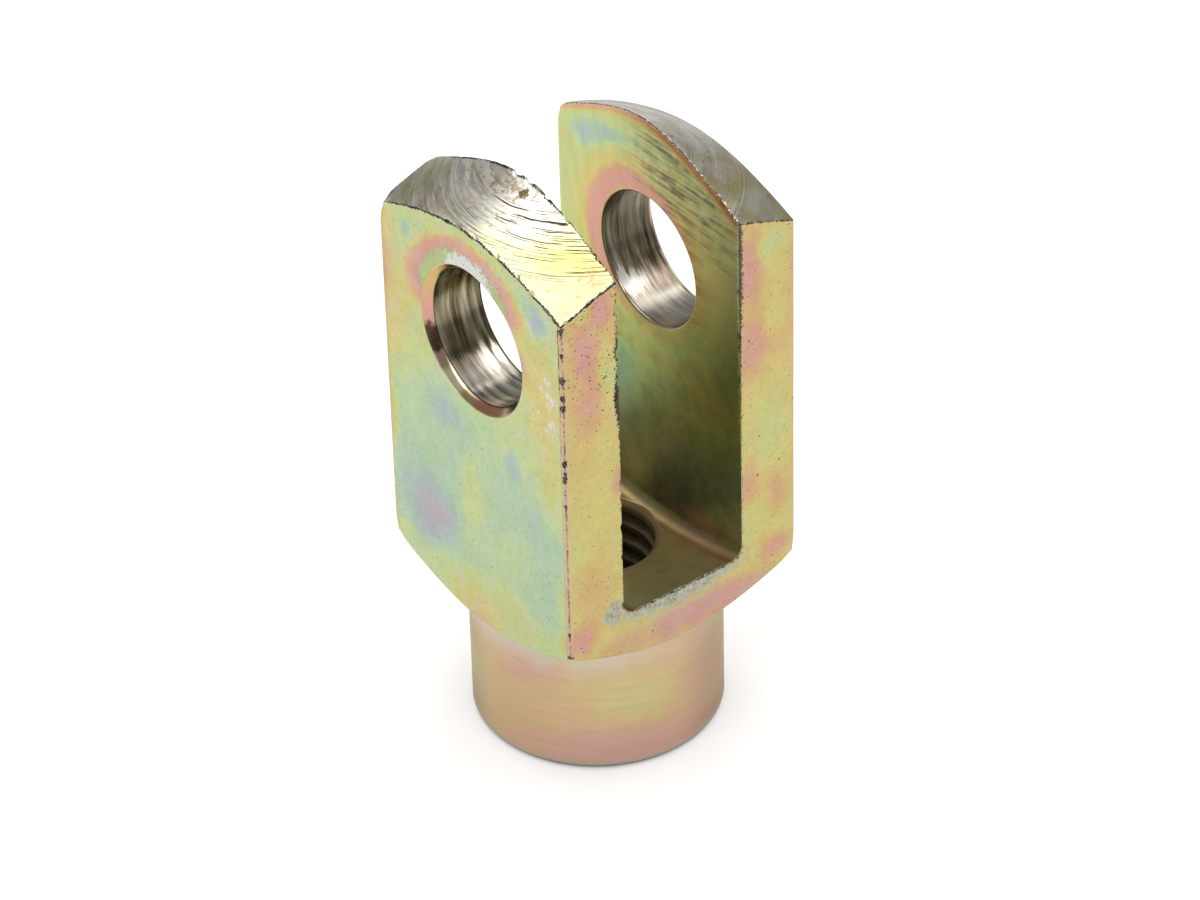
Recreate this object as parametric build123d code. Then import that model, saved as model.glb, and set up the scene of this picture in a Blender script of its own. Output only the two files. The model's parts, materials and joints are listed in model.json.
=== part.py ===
from build123d import *
from math import hypot, radians, tan
import os

# Clevis rod end: a fork head machined from one length of square steel bar.
#
# The bar keeps its flats on the head.  A lathe turns the round neck and a cone at each end,
# a disc cutter plunges down the axis for the slot, a cross drill makes the pin bore through
# both ears, and the axis is drilled for the rod's thread.
#
# Frame: origin at the centre of the neck's bottom face, +Z up along the thread's axis.
# The pin's axis is along X, through both ears.  The slot runs right through along Y and is
# open at the top.  Sizes are in millimetres, angles in degrees.

# ---- Driving dimensions --------------------------------------------------------------

bar_width = 16.0                # across the flats of the square bar
bar_corner_radius = 0.2         # rolled corner of the bar

neck_diameter = 14.5            # turned neck below the head
neck_length = 8.5               # bottom face to the start of the lower cone
neck_edge_radius = 0.5          # rounding of the neck's bottom edge
neck_root_radius = 0.6          # tool-nose radius between the neck and the lower cone

cone_angle = 30.0               # slope of both turned ends, up from the horizontal
shoulder_above_pin = 5.0        # pin's axis to where the top cone leaves the bar's corners

floor_above_neck = 2.7          # top of the neck to the lowest line of the slot's floor
slot_depth = 16.8               # that line to the pin's axis
slot_width = 8.4                # between the ears, for an 8 mm eye
cutter_diameter = 63.0          # disc cutter, which leaves the floor hollow along Y
cutter_corner_radius = 0.8      # leaves a fillet where the floor meets each ear

pin_diameter = 8.0              # bore for the clevis pin, through both ears
pin_countersink = 0.45          # 45 degree chamfer at each outer face
pin_deburr = 0.12               # 45 degree edge break at each slot wall

thread_diameter = 8.0           # M8 female thread for the rod
thread_pitch = 1.25
tap_drill_allowance = 0.05      # tapping drill over diameter less pitch
thread_countersink = 0.5        # how much wider the bottom countersink is than the thread
thread_deburr = 0.25            # 45 degree edge break at the slot's floor

# ---- Sizes that follow ---------------------------------------------------------------

clear_of_part = 1.0             # how far a cutting tool's solid runs past what it cuts

bar_half = bar_width / 2
bar_corner = hypot(bar_half, bar_half)
neck_radius = neck_diameter / 2
slot_half = slot_width / 2
cutter_radius = cutter_diameter / 2
pin_radius = pin_diameter / 2
tap_drill_radius = (thread_diameter - thread_pitch + tap_drill_allowance) / 2
thread_mouth_radius = (thread_diameter + thread_countersink) / 2

cone_slope = tan(radians(cone_angle))
floor_height = neck_length + floor_above_neck
pin_height = floor_height + slot_depth
shoulder_height = pin_height + shoulder_above_pin
cone_tip = shoulder_height + bar_corner * cone_slope


# ---- The blank: square bar with both ends turned --------------------------------------


def square_bar():
    """Square bar with its rolled corners, as long as the blank."""
    section = RectangleRounded(bar_width, bar_width, bar_corner_radius)
    return extrude(section, cone_tip)


def turned_envelope():
    """Everything the lathe leaves: neck, lower cone, clear bar and upper cone."""
    clear_radius = bar_corner + clear_of_part
    lower_reach = neck_length + (clear_radius - neck_radius) * cone_slope
    upper_reach = shoulder_height - clear_of_part * cone_slope
    outline = FilletPolyline(
        (0, 0, 0),
        (neck_radius, 0, 0),
        (neck_radius, 0, neck_length),
        (clear_radius, 0, lower_reach),
        (clear_radius, 0, upper_reach),
        (0, 0, cone_tip),
        radius=[neck_edge_radius, neck_root_radius, 0, 0],
    )
    axis_line = Line((0, 0, cone_tip), (0, 0, 0))
    return revolve(make_face(outline + axis_line), Axis.Z)


# ---- The cutting tools -----------------------------------------------------------------


def slot_cutter():
    """Disc cutter at the bottom of its plunge, with the corners of its rim rounded."""
    rim = Rectangle(slot_width, cutter_diameter)
    rim = fillet(rim.vertices(), cutter_corner_radius)
    disc = revolve(split(rim, bisect_by=Plane.XZ), Axis.X)
    return Pos(0, 0, floor_height + cutter_radius) * disc


def countersink_cone(bore_radius, chamfer, past_face=clear_of_part):
    """45 degree cone up +Z, wider than the bore by the chamfer at the face, Z = 0."""
    reach = chamfer + past_face
    cone = Cone(
        bore_radius,
        bore_radius + reach,
        reach,
        align=(Align.CENTER, Align.CENTER, Align.MIN),
    )
    return Pos(0, 0, -chamfer) * cone


def pin_drill():
    """Cross drill through both ears, with the edge breaks of all four mouths."""
    drill = Rot(0, 90, 0) * Cylinder(pin_radius, bar_width + 2 * clear_of_part)
    outer = countersink_cone(pin_radius, pin_countersink)
    inner = countersink_cone(pin_radius, pin_deburr)
    for side in (-1, 1):
        drill += Pos(side * bar_half, 0, 0) * Rot(0, side * 90, 0) * outer
        drill += Pos(side * slot_half, 0, 0) * Rot(0, -side * 90, 0) * inner
    return Pos(0, 0, pin_height) * drill


def tap_drill():
    """Tapping drill up the axis, with the edge breaks at the bottom and at the floor.

    The tool that breaks the edge at the floor is no wider than the thread, so it passes
    between the ears.
    """
    drill = Cylinder(
        tap_drill_radius,
        floor_height + 2 * clear_of_part,
        align=(Align.CENTER, Align.CENTER, Align.MIN),
    )
    bottom = countersink_cone(tap_drill_radius, thread_mouth_radius - tap_drill_radius)
    above_floor = thread_diameter / 2 - tap_drill_radius - thread_deburr
    top = countersink_cone(tap_drill_radius, thread_deburr, above_floor)
    drill = Pos(0, 0, -clear_of_part) * drill
    return drill + Rot(180, 0, 0) * bottom + Pos(0, 0, floor_height) * top


# ---- The fork head ---------------------------------------------------------------------


def fork_head():
    """The whole part, one solid."""
    blank = square_bar() & turned_envelope()
    return blank - slot_cutter() - pin_drill() - tap_drill()


os.makedirs("parts", exist_ok=True)
export_step(fork_head(), "parts/fork_head.step")
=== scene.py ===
import json
import logging
import math
from dataclasses import dataclass
from enum import Enum
from functools import cached_property
from typing import Any, Callable

import bmesh
import bpy
import numpy as np
from mathutils import Matrix, Vector


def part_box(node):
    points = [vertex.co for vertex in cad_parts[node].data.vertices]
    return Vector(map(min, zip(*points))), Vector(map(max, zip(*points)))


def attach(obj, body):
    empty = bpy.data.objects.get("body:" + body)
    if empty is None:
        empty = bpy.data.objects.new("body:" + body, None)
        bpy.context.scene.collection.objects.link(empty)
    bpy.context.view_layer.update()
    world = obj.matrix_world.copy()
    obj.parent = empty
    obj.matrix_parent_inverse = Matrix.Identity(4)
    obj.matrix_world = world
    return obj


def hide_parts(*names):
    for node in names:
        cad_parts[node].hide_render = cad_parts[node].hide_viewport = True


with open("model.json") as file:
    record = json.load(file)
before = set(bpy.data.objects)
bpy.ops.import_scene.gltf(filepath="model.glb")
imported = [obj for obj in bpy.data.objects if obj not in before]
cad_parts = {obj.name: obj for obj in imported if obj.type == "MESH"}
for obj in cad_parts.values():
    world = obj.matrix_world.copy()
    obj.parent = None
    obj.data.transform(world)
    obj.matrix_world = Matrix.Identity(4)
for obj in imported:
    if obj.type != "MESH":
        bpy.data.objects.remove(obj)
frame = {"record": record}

# Looks of a clevis rod end: one piece of square bar, turned, milled, drilled, tapped and zinc plated.
# Every length in this file is in millimetres until a mesh or a camera is made, which turns it into metres.

LOG = logging.getLogger("clevis")
MM = 0.001
NODE = "fork_head"
BODY = "root"
Node = bpy.types.ShaderNode
Socket = bpy.types.NodeSocket


class Zone(Enum):
    """The machined surfaces, in the order of the piece's material slots."""

    FLAT = 0
    CONE = 1
    SLOT = 2
    BORE = 3
    NECK = 4
    THREAD = 5


# --------------------------------------------------------------------------------------------
# Sizes
# --------------------------------------------------------------------------------------------


@dataclass(frozen=True)
class ForkSizes:
    """Driving sizes of the fork head, in millimetres, and the surfaces that follow from them."""

    bar_width: float
    pin_height: float
    pin_diameter: float
    neck_diameter: float = 14.5
    neck_length: float = 8.5
    neck_edge_radius: float = 0.5
    neck_root_radius: float = 0.3
    cone_angle: float = 30.0
    shoulder_above_pin: float = 5.0
    floor_above_neck: float = 2.7
    slot_width: float = 8.4
    cutter_diameter: float = 63.0
    cutter_corner_radius: float = 0.8
    pin_countersink: float = 0.45
    pin_deburr: float = 0.12
    thread_pitch: float = 1.25
    tap_drill_radius: float = 3.4
    thread_depth: float = 0.62
    thread_mouth_radius: float = 4.25
    thread_deburr: float = 0.25

    @classmethod
    def from_frame(cls, record: dict[str, Any]) -> "ForkSizes":
        """Read the bar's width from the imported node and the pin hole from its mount.

        Args:
            record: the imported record.

        Returns:
            The sizes, with the rest of them at their own values.
        """
        low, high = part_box(NODE)
        bore = next(mount for mount in record["mounts"] if mount["name"] == "pin_bore")
        return cls((high.x - low.x) / MM, bore["pos_m"][2] / MM, 2 * bore["dims"]["r_mm"])

    @property
    def half(self) -> float:
        """Half the bar's width."""
        return self.bar_width / 2

    @property
    def corner(self) -> float:
        """Distance from the bar's middle to its corner."""
        return self.half * math.sqrt(2)

    @property
    def slope(self) -> float:
        """Rise of both turned cones for each millimetre of radius."""
        return math.tan(math.radians(self.cone_angle))

    @property
    def steepness(self) -> float:
        """Cosine that turns a height above a cone into a distance from it."""
        return math.cos(math.radians(self.cone_angle))

    @property
    def shoulder_height(self) -> float:
        """Height of the bar's upper corners, where the top cone starts."""
        return self.pin_height + self.shoulder_above_pin

    @property
    def pin_radius(self) -> float:
        """Radius of the pin hole."""
        return self.pin_diameter / 2

    @property
    def cheek(self) -> float:
        """Half the slot's width."""
        return self.slot_width / 2

    @property
    def floor_flat(self) -> float:
        """Half the width of the slot's floor between its rounded corners."""
        return self.cheek - self.cutter_corner_radius

    @property
    def floor_height(self) -> float:
        """Height of the slot's floor at its lowest, in the middle."""
        return self.neck_length + self.floor_above_neck

    @property
    def cutter_radius(self) -> float:
        """Radius of the disc cutter that swept the slot."""
        return self.cutter_diameter / 2

    @property
    def cutter_height(self) -> float:
        """Height of the disc cutter's axis."""
        return self.floor_height + self.cutter_radius

    @property
    def mouth_height(self) -> float:
        """Height where the tapped hole's upper edge break starts."""
        return self.floor_height - self.thread_deburr

    @property
    def neck_radius(self) -> float:
        """Radius of the turned neck."""
        return self.neck_diameter / 2

    def top(self, x: np.ndarray | float, y: np.ndarray | float) -> np.ndarray:
        """Return the top cone's height: the shoulder plus slope times the way in from the corner."""
        return self.shoulder_height + (self.corner - np.hypot(x, y)) * self.slope

    def under(self, x: np.ndarray | float, y: np.ndarray | float) -> np.ndarray:
        """Return the lower cone's height: the neck's top plus slope times the way out from it."""
        return self.neck_length + (np.hypot(x, y) - self.neck_radius) * self.slope

    def cheek_foot(self, y: np.ndarray) -> np.ndarray:
        """Return the height where the slot's side turns into its corner: an arc about the cutter's axis."""
        return self.cutter_height - np.sqrt((self.cutter_radius - self.cutter_corner_radius) ** 2 - y**2)


# --------------------------------------------------------------------------------------------
# Noise and the finished surface
# --------------------------------------------------------------------------------------------


@dataclass(frozen=True)
class Grain:
    """Smooth random field: random numbers on a cubic lattice, mixed by smoothed thirds in x, y and z."""

    seed: int
    lattice: int = 32

    def at(self, points: np.ndarray, size: float) -> np.ndarray:
        """Return one number from -1 to 1 for each point.

        Args:
            points: rows of x, y, z.
            size: distance between lattice points.

        Returns:
            The eight lattice values round each point, blended by t t (3 - 2 t) on each axis.
        """
        table = np.random.default_rng(self.seed).uniform(-1.0, 1.0, (self.lattice,) * 3)
        place = points / size + 0.37 * self.seed
        cell = np.floor(place).astype(np.int64)
        t = place - cell
        t = t * t * (3 - 2 * t)
        total = np.zeros(len(points))
        for corner in np.ndindex(2, 2, 2):
            weight = np.prod(np.where(np.array(corner), t, 1 - t), axis=1)
            index = (cell + corner) % self.lattice
            total += weight * table[index[:, 0], index[:, 1], index[:, 2]]
        return total


def bell(way: np.ndarray, width: float) -> np.ndarray:
    """Return 1 where the way is none, falling off as exp(-(way / width)^2)."""
    return np.exp(-((way / width) ** 2))


def round_union_edge(gaps: np.ndarray, radius: np.ndarray | float) -> np.ndarray:
    """Return the distance to a solid bounded by several surfaces, its outer edges rounded.

    Formula: the length of the parts of (gap + radius) above zero, less the radius, where two or more
    surfaces are near, and the largest gap elsewhere.

    Args:
        gaps: one row for each surface, positive outside it.
        radius: edge radius, everywhere or at each point.

    Returns:
        One distance for each point.
    """
    raised = np.maximum(gaps + radius, 0.0)
    return np.minimum(gaps.max(axis=0), -radius) + np.sqrt((raised**2).sum(axis=0))


@dataclass(frozen=True)
class Nick:
    """A dent in the bar's near corner: its height, half its length and how far it reaches."""

    height: float
    length: float
    reach: float = 0.3


@dataclass(frozen=True)
class Wear:
    """How ragged the machining left the surface, in millimetres."""

    edge_radius: float = 0.04
    edge_radius_swing: float = 0.02
    relief: float = 0.015
    bar_corner_radius: float = 0.1
    foot_corner_depth: float = 0.09
    foot_corner_reach: float = 0.7
    burr_height: float = 0.05
    burr_width: float = 0.13
    chip_depth: float = 0.14
    chip_width: float = 0.16
    back_edge_depth: float = 0.07
    back_edge_reach: float = 0.3
    top_corner_depth: float = 0.2
    top_corner_reach: float = 0.6
    turned_swell: float = 0.003
    turned_swell_spacing: float = 1.3
    bore_ridge: float = 0.008
    bore_ridge_spacing: float = 0.9
    ripple: float = 0.006
    ripple_size: float = 3.5
    calm_beyond: float = 6.5
    slot_calm_below: float = 23.0
    nick_depth: float = 0.1
    nicks: tuple[Nick, ...] = (
        Nick(32.7, 0.3), Nick(31.2, 0.25, 0.2), Nick(29.5, 0.4), Nick(28.4, 0.35), Nick(27.7, 0.35),
        Nick(24.1, 0.4, 0.25), Nick(23.2, 0.5, 0.25), Nick(21.3, 0.3, 0.2), Nick(12.6, 0.3, 0.2),
        Nick(10.9, 0.3, 0.35), Nick(9.75, 0.35, 0.5))


@dataclass
class Marks:
    """Random values at each point, which the tool marks, burrs and chips are made from."""

    sway: np.ndarray
    wander: np.ndarray
    rough: np.ndarray
    chips: np.ndarray
    ripple: np.ndarray


class ForkSurface:
    """The finished surface as a distance field, with its rounded, chipped and burred edges."""

    def __init__(self, sizes: ForkSizes, wear: Wear) -> None:
        """Keep the sizes and the wear.

        Args:
            sizes: the fork head's sizes.
            wear: how ragged its edges and faces are.
        """
        self.sizes = sizes
        self.wear = wear
        self.coarse = Grain(3)
        self.middle = Grain(5)
        self.fine = Grain(8)

    def marks(self, p: np.ndarray) -> Marks:
        """Return the random values at each point."""
        return Marks(sway=self.coarse.at(p, 2.5), wander=self.middle.at(p, 0.9),
                     rough=self.fine.at(p, 0.24), ripple=self.coarse.at(p, self.wear.ripple_size),
                     chips=np.clip((self.fine.at(p, 0.36) - 0.42) / 0.25, 0, 1))

    def gaps(self, p: np.ndarray, marks: Marks) -> dict[str, np.ndarray]:
        """Return each machined surface's signed distance, positive outside the metal.

        Args:
            p: rows of x, y, z.
            marks: the random values there.

        Returns:
            Distances by name: sides, cone, under, slot, bore and thread.
        """
        s = self.sizes
        x, y, z = p.T
        r = np.hypot(x, y)
        bar = np.stack([np.abs(x) - s.half, np.abs(y) - s.half])
        cone = (z - s.shoulder_height - (s.corner - r) * s.slope) * s.steepness
        below = (s.neck_length + (r - s.neck_radius) * s.slope - z) * s.steepness
        neck = r - s.neck_radius
        root = s.neck_root_radius
        hollow = np.hypot(np.maximum(root - neck, 0.0), np.maximum(root - below, 0.0))
        under = np.maximum(root, np.minimum(neck, below)) - hollow
        foot = round_union_edge(np.stack([-z, neck]), s.neck_edge_radius)
        disc = np.hypot(y, z - s.cutter_height) - s.cutter_radius
        cavity = round_union_edge(np.stack([np.abs(x) - s.cheek, disc]), s.cutter_corner_radius)
        return {"sides": round_union_edge(bar, self.wear.bar_corner_radius),
                "cone": cone + self.turned(r, marks), "slot": -cavity,
                "under": np.where(z < s.neck_length / 2, foot, under),
                "bore": self.bore_gap(x, y, z), "thread": self.thread_gap(x, y, z, r)}

    def turned(self, r: np.ndarray, marks: Marks) -> np.ndarray:
        """Return the depth of the slow swells that turning left on the top cone: rings about the axis."""
        w = self.wear
        return w.turned_swell * np.sin(2 * math.pi * (r + 0.3 * marks.sway) / w.turned_swell_spacing)

    def bore_gap(self, x: np.ndarray, y: np.ndarray, z: np.ndarray) -> np.ndarray:
        """Return the signed distance to the pin hole: its radius, chamfers and ridges less the way out.

        Args:
            x: along the pin.
            y: along the slot.
            z: up.

        Returns:
            Distance, positive inside the hole.
        """
        s, w = self.sizes, self.wear
        along = np.abs(x)
        way = np.hypot(y, z - s.pin_height)
        radius = np.full_like(x, s.pin_radius)
        turn = np.arctan2(z - s.pin_height, y)
        inside = np.clip((s.half - s.pin_countersink - along) / 0.2, 0, 1)
        inside *= np.clip((along - s.cheek - s.pin_deburr) / 0.2, 0, 1)
        ridge = np.sin(2 * math.pi * (along + 0.05 * np.sin(turn * 2)) / w.bore_ridge_spacing)
        radius += w.bore_ridge * np.maximum(ridge, -0.2) * inside
        uneven = 1 + 0.14 * np.sin(turn * 2 + 0.6) + 0.05 * np.sin(turn * 5)
        radius += np.maximum(along - (s.half - s.pin_countersink * uneven), 0.0)
        radius += np.maximum(s.cheek + s.pin_deburr - along, 0.0)
        return radius - way

    def thread_gap(self, x: np.ndarray, y: np.ndarray, z: np.ndarray, r: np.ndarray) -> np.ndarray:
        """Return the signed distance to the tapped hole: a helical groove between its two edge breaks.

        The groove's depth grows at 30 degrees from each crest and stops at the thread's full depth.

        Args:
            x: across the slot.
            y: along the slot.
            z: up.
            r: distance from the axis.

        Returns:
            Distance, positive inside the hole.
        """
        s = self.sizes
        turn = np.arctan2(y, x) / (2 * math.pi)
        phase = (z / s.thread_pitch - turn) % 1.0
        from_crest = np.abs(phase - 0.5) * s.thread_pitch
        flank = math.tan(math.radians(30))
        flat_half = s.thread_pitch / 2 - s.thread_depth * flank - s.thread_pitch / 16
        groove = np.clip((from_crest - flat_half) / flank, 0.0, s.thread_depth)
        groove = groove * np.clip((s.mouth_height + 0.05 - z) / 0.35, 0.0, 1.0)
        lower = s.thread_mouth_radius - z
        upper = s.tap_drill_radius + np.minimum(z - s.mouth_height, 2 * s.thread_deburr)
        radius = np.maximum(np.maximum(s.tap_drill_radius + groove, lower), upper)
        return radius - r

    def distance(self, p: np.ndarray, marks: Marks) -> np.ndarray:
        """Return the signed distance to the finished surface, positive outside.

        Args:
            p: rows of x, y, z.
            marks: the random values there.

        Returns:
            One distance for each point.
        """
        w = self.wear
        g = self.gaps(p, marks)
        radius = w.edge_radius + w.edge_radius_swing * marks.wander
        return round_union_edge(np.stack(list(g.values())), radius) + self.loss(p, g, marks)

    def loss(self, p: np.ndarray, g: dict[str, np.ndarray], marks: Marks) -> np.ndarray:
        """Return how far the metal lies back: the even relief, chips and ripple, less the burrs.

        Args:
            p: rows of x, y, z.
            g: the surfaces' distances from gaps().
            marks: the random values there.

        Returns:
            Depth in millimetres.
        """
        s, w = self.sizes, self.wear
        x, y, z = p.T
        cone_edge = np.hypot(g["cone"], np.maximum(g["sides"], g["slot"]))
        slot_edge = np.hypot(g["slot"], g["sides"])
        corner_edge = np.hypot(np.abs(x) - s.half, np.abs(y) - s.half)
        calm = np.clip((s.half - x) / (s.half - w.calm_beyond), 0.05, 1) * np.clip((3.5 - y) / 3, 0.3, 1)
        slot_calm = np.clip((z - w.slot_calm_below) / 5, 0.2, 1)
        burr = bell(cone_edge, w.burr_width) * (0.35 + 0.65 * marks.rough) * calm
        burr += bell(slot_edge, w.burr_width) * (0.6 + marks.rough * slot_calm) * (y < 0)
        edge = np.minimum(cone_edge, slot_edge + 0.1 * (1 - slot_calm)) + 0.4 * (1 - calm)
        loss = w.chip_depth * bell(edge, w.chip_width) * marks.chips
        loss += w.back_edge_depth * bell(slot_edge, w.back_edge_reach) * (y > 0)
        near = np.hypot(x + s.half, y + s.half)
        for nick in w.nicks:
            loss += w.nick_depth * bell(near, nick.reach) * bell(z - nick.height, nick.length)
        loss += 0.4 * w.chip_depth * bell(near, w.chip_width) * marks.chips
        foot = np.hypot(corner_edge, z - s.under(s.half, s.half))
        loss += w.foot_corner_depth * bell(foot, w.foot_corner_reach)
        for corner_x, corner_z in ((-s.half, s.shoulder_height), (s.cheek, s.top(s.cheek, s.half))):
            top = np.sqrt((x - corner_x) ** 2 + (y - s.half) ** 2 + (z - corner_z) ** 2)
            loss += w.top_corner_depth * bell(top, w.top_corner_reach)
        seat = np.clip(z / 0.4, 0.0, 1.0)
        return (w.relief + loss - w.burr_height * burr + w.ripple * marks.ripple) * seat

    def settle(self, p: np.ndarray, rounds: int = 6, longest: float = 0.16) -> np.ndarray:
        """Move points onto the finished surface by Newton steps along the field's slope.

        Args:
            p: rows of x, y, z near the surface.
            rounds: number of steps.
            longest: the longest step.

        Returns:
            The moved points.
        """
        probe = 0.002
        for _ in range(rounds):
            marks = self.marks(p)
            here = self.distance(p, marks)
            slope = np.stack([(self.distance(p + probe * axis, marks) - here) / probe
                              for axis in np.eye(3)], axis=1)
            step = here[:, None] * slope / np.maximum((slope**2).sum(axis=1, keepdims=True), 0.25)
            length = np.linalg.norm(step, axis=1, keepdims=True)
            p = p - step * np.minimum(1.0, longest / np.maximum(length, 1e-9))
        return p

    def near_edge(self, p: np.ndarray) -> np.ndarray:
        """Return how near each point lies to a sharp edge: 1 on it, 0 from half a millimetre away."""
        depths = np.sort(np.abs(self.outer(self.gaps(p, self.marks(p)))), axis=0)
        return np.clip(1 - np.minimum(depths[1], self.bar_edge(p)) / 0.5, 0.0, 1.0)

    def outer(self, gaps: dict[str, np.ndarray]) -> np.ndarray:
        """Return the distances of the four surfaces that bound the outside, one row each."""
        return np.stack([gaps[name] for name in ("sides", "cone", "slot", "under")])

    def bar_edge(self, p: np.ndarray) -> np.ndarray:
        """Return how far each point lies from the bar's nearest corner, along the flat."""
        return np.abs(np.abs(p[:, :2]) - self.sizes.half).max(axis=1)

    def finished(self, p: np.ndarray, edges: np.ndarray, passes: int = 3) -> np.ndarray:
        """Settle points, easing them apart along the ragged edges between rounds.

        Easing moves a point part of the way to the mean of its neighbours.

        Args:
            p: rows of x, y, z near the surface.
            edges: pairs of points that the mesh joins.
            passes: how many times the points are eased.

        Returns:
            The moved points.
        """
        p = self.settle(p)
        count = np.bincount(edges.ravel(), minlength=len(p))[:, None]
        for _ in range(passes):
            total = np.stack([np.bincount(edges[:, 0], p[edges[:, 1], axis], len(p))
                              + np.bincount(edges[:, 1], p[edges[:, 0], axis], len(p))
                              for axis in range(3)], axis=1)
            p = p + 0.6 * self.near_edge(p)[:, None] * (total / count - p)
            p = self.settle(p, rounds=2)
        left = np.abs(self.distance(p, self.marks(p)))
        LOG.info("surface settled to %.4f mm on average and %.4f mm at worst", left.mean(), left.max())
        return p


# --------------------------------------------------------------------------------------------
# The mesh
# --------------------------------------------------------------------------------------------


def graded(count: int, pull: float) -> np.ndarray:
    """Return count + 1 numbers from 0 to 1, closer together at both ends.

    Formula: half of one plus tanh(pull (2 u - 1)) / tanh(pull), for u evenly from 0 to 1.

    Args:
        count: number of steps.
        pull: how strongly the ends draw the numbers in.

    Returns:
        The numbers.
    """
    u = np.linspace(0.0, 1.0, count + 1)
    return 0.5 * (1 + np.tanh(pull * (2 * u - 1)) / math.tanh(pull))


def grid(x: np.ndarray | float, y: np.ndarray | float, z: np.ndarray) -> np.ndarray:
    """Return points whose x, y and z are given, each spread to the shape of all three."""
    return np.stack(np.broadcast_arrays(x, y, z), axis=-1)


def between(start: np.ndarray, end: np.ndarray, share: np.ndarray) -> np.ndarray:
    """Return rows that pass from one line of points to another: start plus share of the way to end."""
    return start[None] + (end - start)[None] * share[:, None, None]


class Skin:
    """Sheets of quads and fans of triangles that are welded into one closed mesh."""

    def __init__(self) -> None:
        """Start with no points and no faces."""
        self.points: list[np.ndarray] = []
        self.faces: dict[int, list[np.ndarray]] = {3: [], 4: []}
        self.zones: dict[int, list[np.ndarray]] = {3: [], 4: []}
        self.count = 0

    def keep(self, points: np.ndarray) -> int:
        """Store points and return the number of the first.

        Args:
            points: the points, in an array of any shape whose last axis is x, y, z.

        Returns:
            The first one's number.
        """
        first = self.count
        self.points.append(points.reshape(-1, 3))
        self.count += points.size // 3
        return first

    def join(self, faces: np.ndarray, zone: Zone) -> None:
        """Store triangles or quads, one row of point numbers each."""
        self.faces[faces.shape[1]].append(faces)
        self.zones[faces.shape[1]].append(np.full(len(faces), zone.value))

    def sheet(self, rows: np.ndarray, zone: Zone, closed: bool = False) -> None:
        """Add a grid of points joined into quads.

        Args:
            rows: rows x columns x 3 points.
            zone: which machined surface it is.
            closed: whether the last column joins the first.
        """
        ids = np.arange(rows.shape[0] * rows.shape[1]).reshape(rows.shape[:2]) + self.keep(rows)
        if closed:
            ids = np.concatenate([ids, ids[:, :1]], axis=1)
        quads = np.stack([ids[:-1, :-1], ids[:-1, 1:], ids[1:, 1:], ids[1:, :-1]], axis=-1)
        self.join(quads.reshape(-1, 4), zone)

    def fan(self, dense: np.ndarray, sparse: np.ndarray, zone: Zone, closed: bool = False) -> None:
        """Join a line of many points to a line of fewer by fans of triangles.

        Each short step of the dense line meets the nearer end of the long step beside it.

        Args:
            dense: the finer line of points.
            sparse: the coarser line, whose steps each span a whole number of the finer ones.
            zone: which machined surface it is.
            closed: whether both lines are rings.
        """
        steps = len(sparse) if closed else len(sparse) - 1
        many = len(dense) if closed else len(dense) - 1
        ratio = many // steps
        pair = np.array([[0, 1]])
        start, first = self.keep(dense), self.keep(sparse)
        near = (np.arange(many)[:, None] + pair) % len(dense) + start
        group, place = np.divmod(np.arange(many), ratio)
        apex = (group + (place >= ratio // 2)) % len(sparse) + first
        middle = start + np.arange(steps) * ratio + ratio // 2
        ends = (np.arange(steps)[:, None] + pair) % len(sparse) + first
        self.join(np.concatenate([np.column_stack([near, apex]), np.column_stack([ends, middle])]), zone)

    def weld(self, step: float = 1e-5) -> tuple[np.ndarray, dict[int, np.ndarray], dict[int, np.ndarray]]:
        """Join points that share a place.

        Args:
            step: how near two points lie to be one.

        Returns:
            The points, the faces by number of sides, and each face's zone.
        """
        points = np.concatenate(self.points)
        keys = np.floor(points / step + 0.377).astype(np.int64)
        _, first, where = np.unique(keys, axis=0, return_index=True, return_inverse=True)
        where = where.reshape(-1)
        faces = {sides: where[np.concatenate(parts)] for sides, parts in self.faces.items()}
        zones = {sides: np.concatenate(parts) for sides, parts in self.zones.items()}
        return points[first], faces, zones


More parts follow.
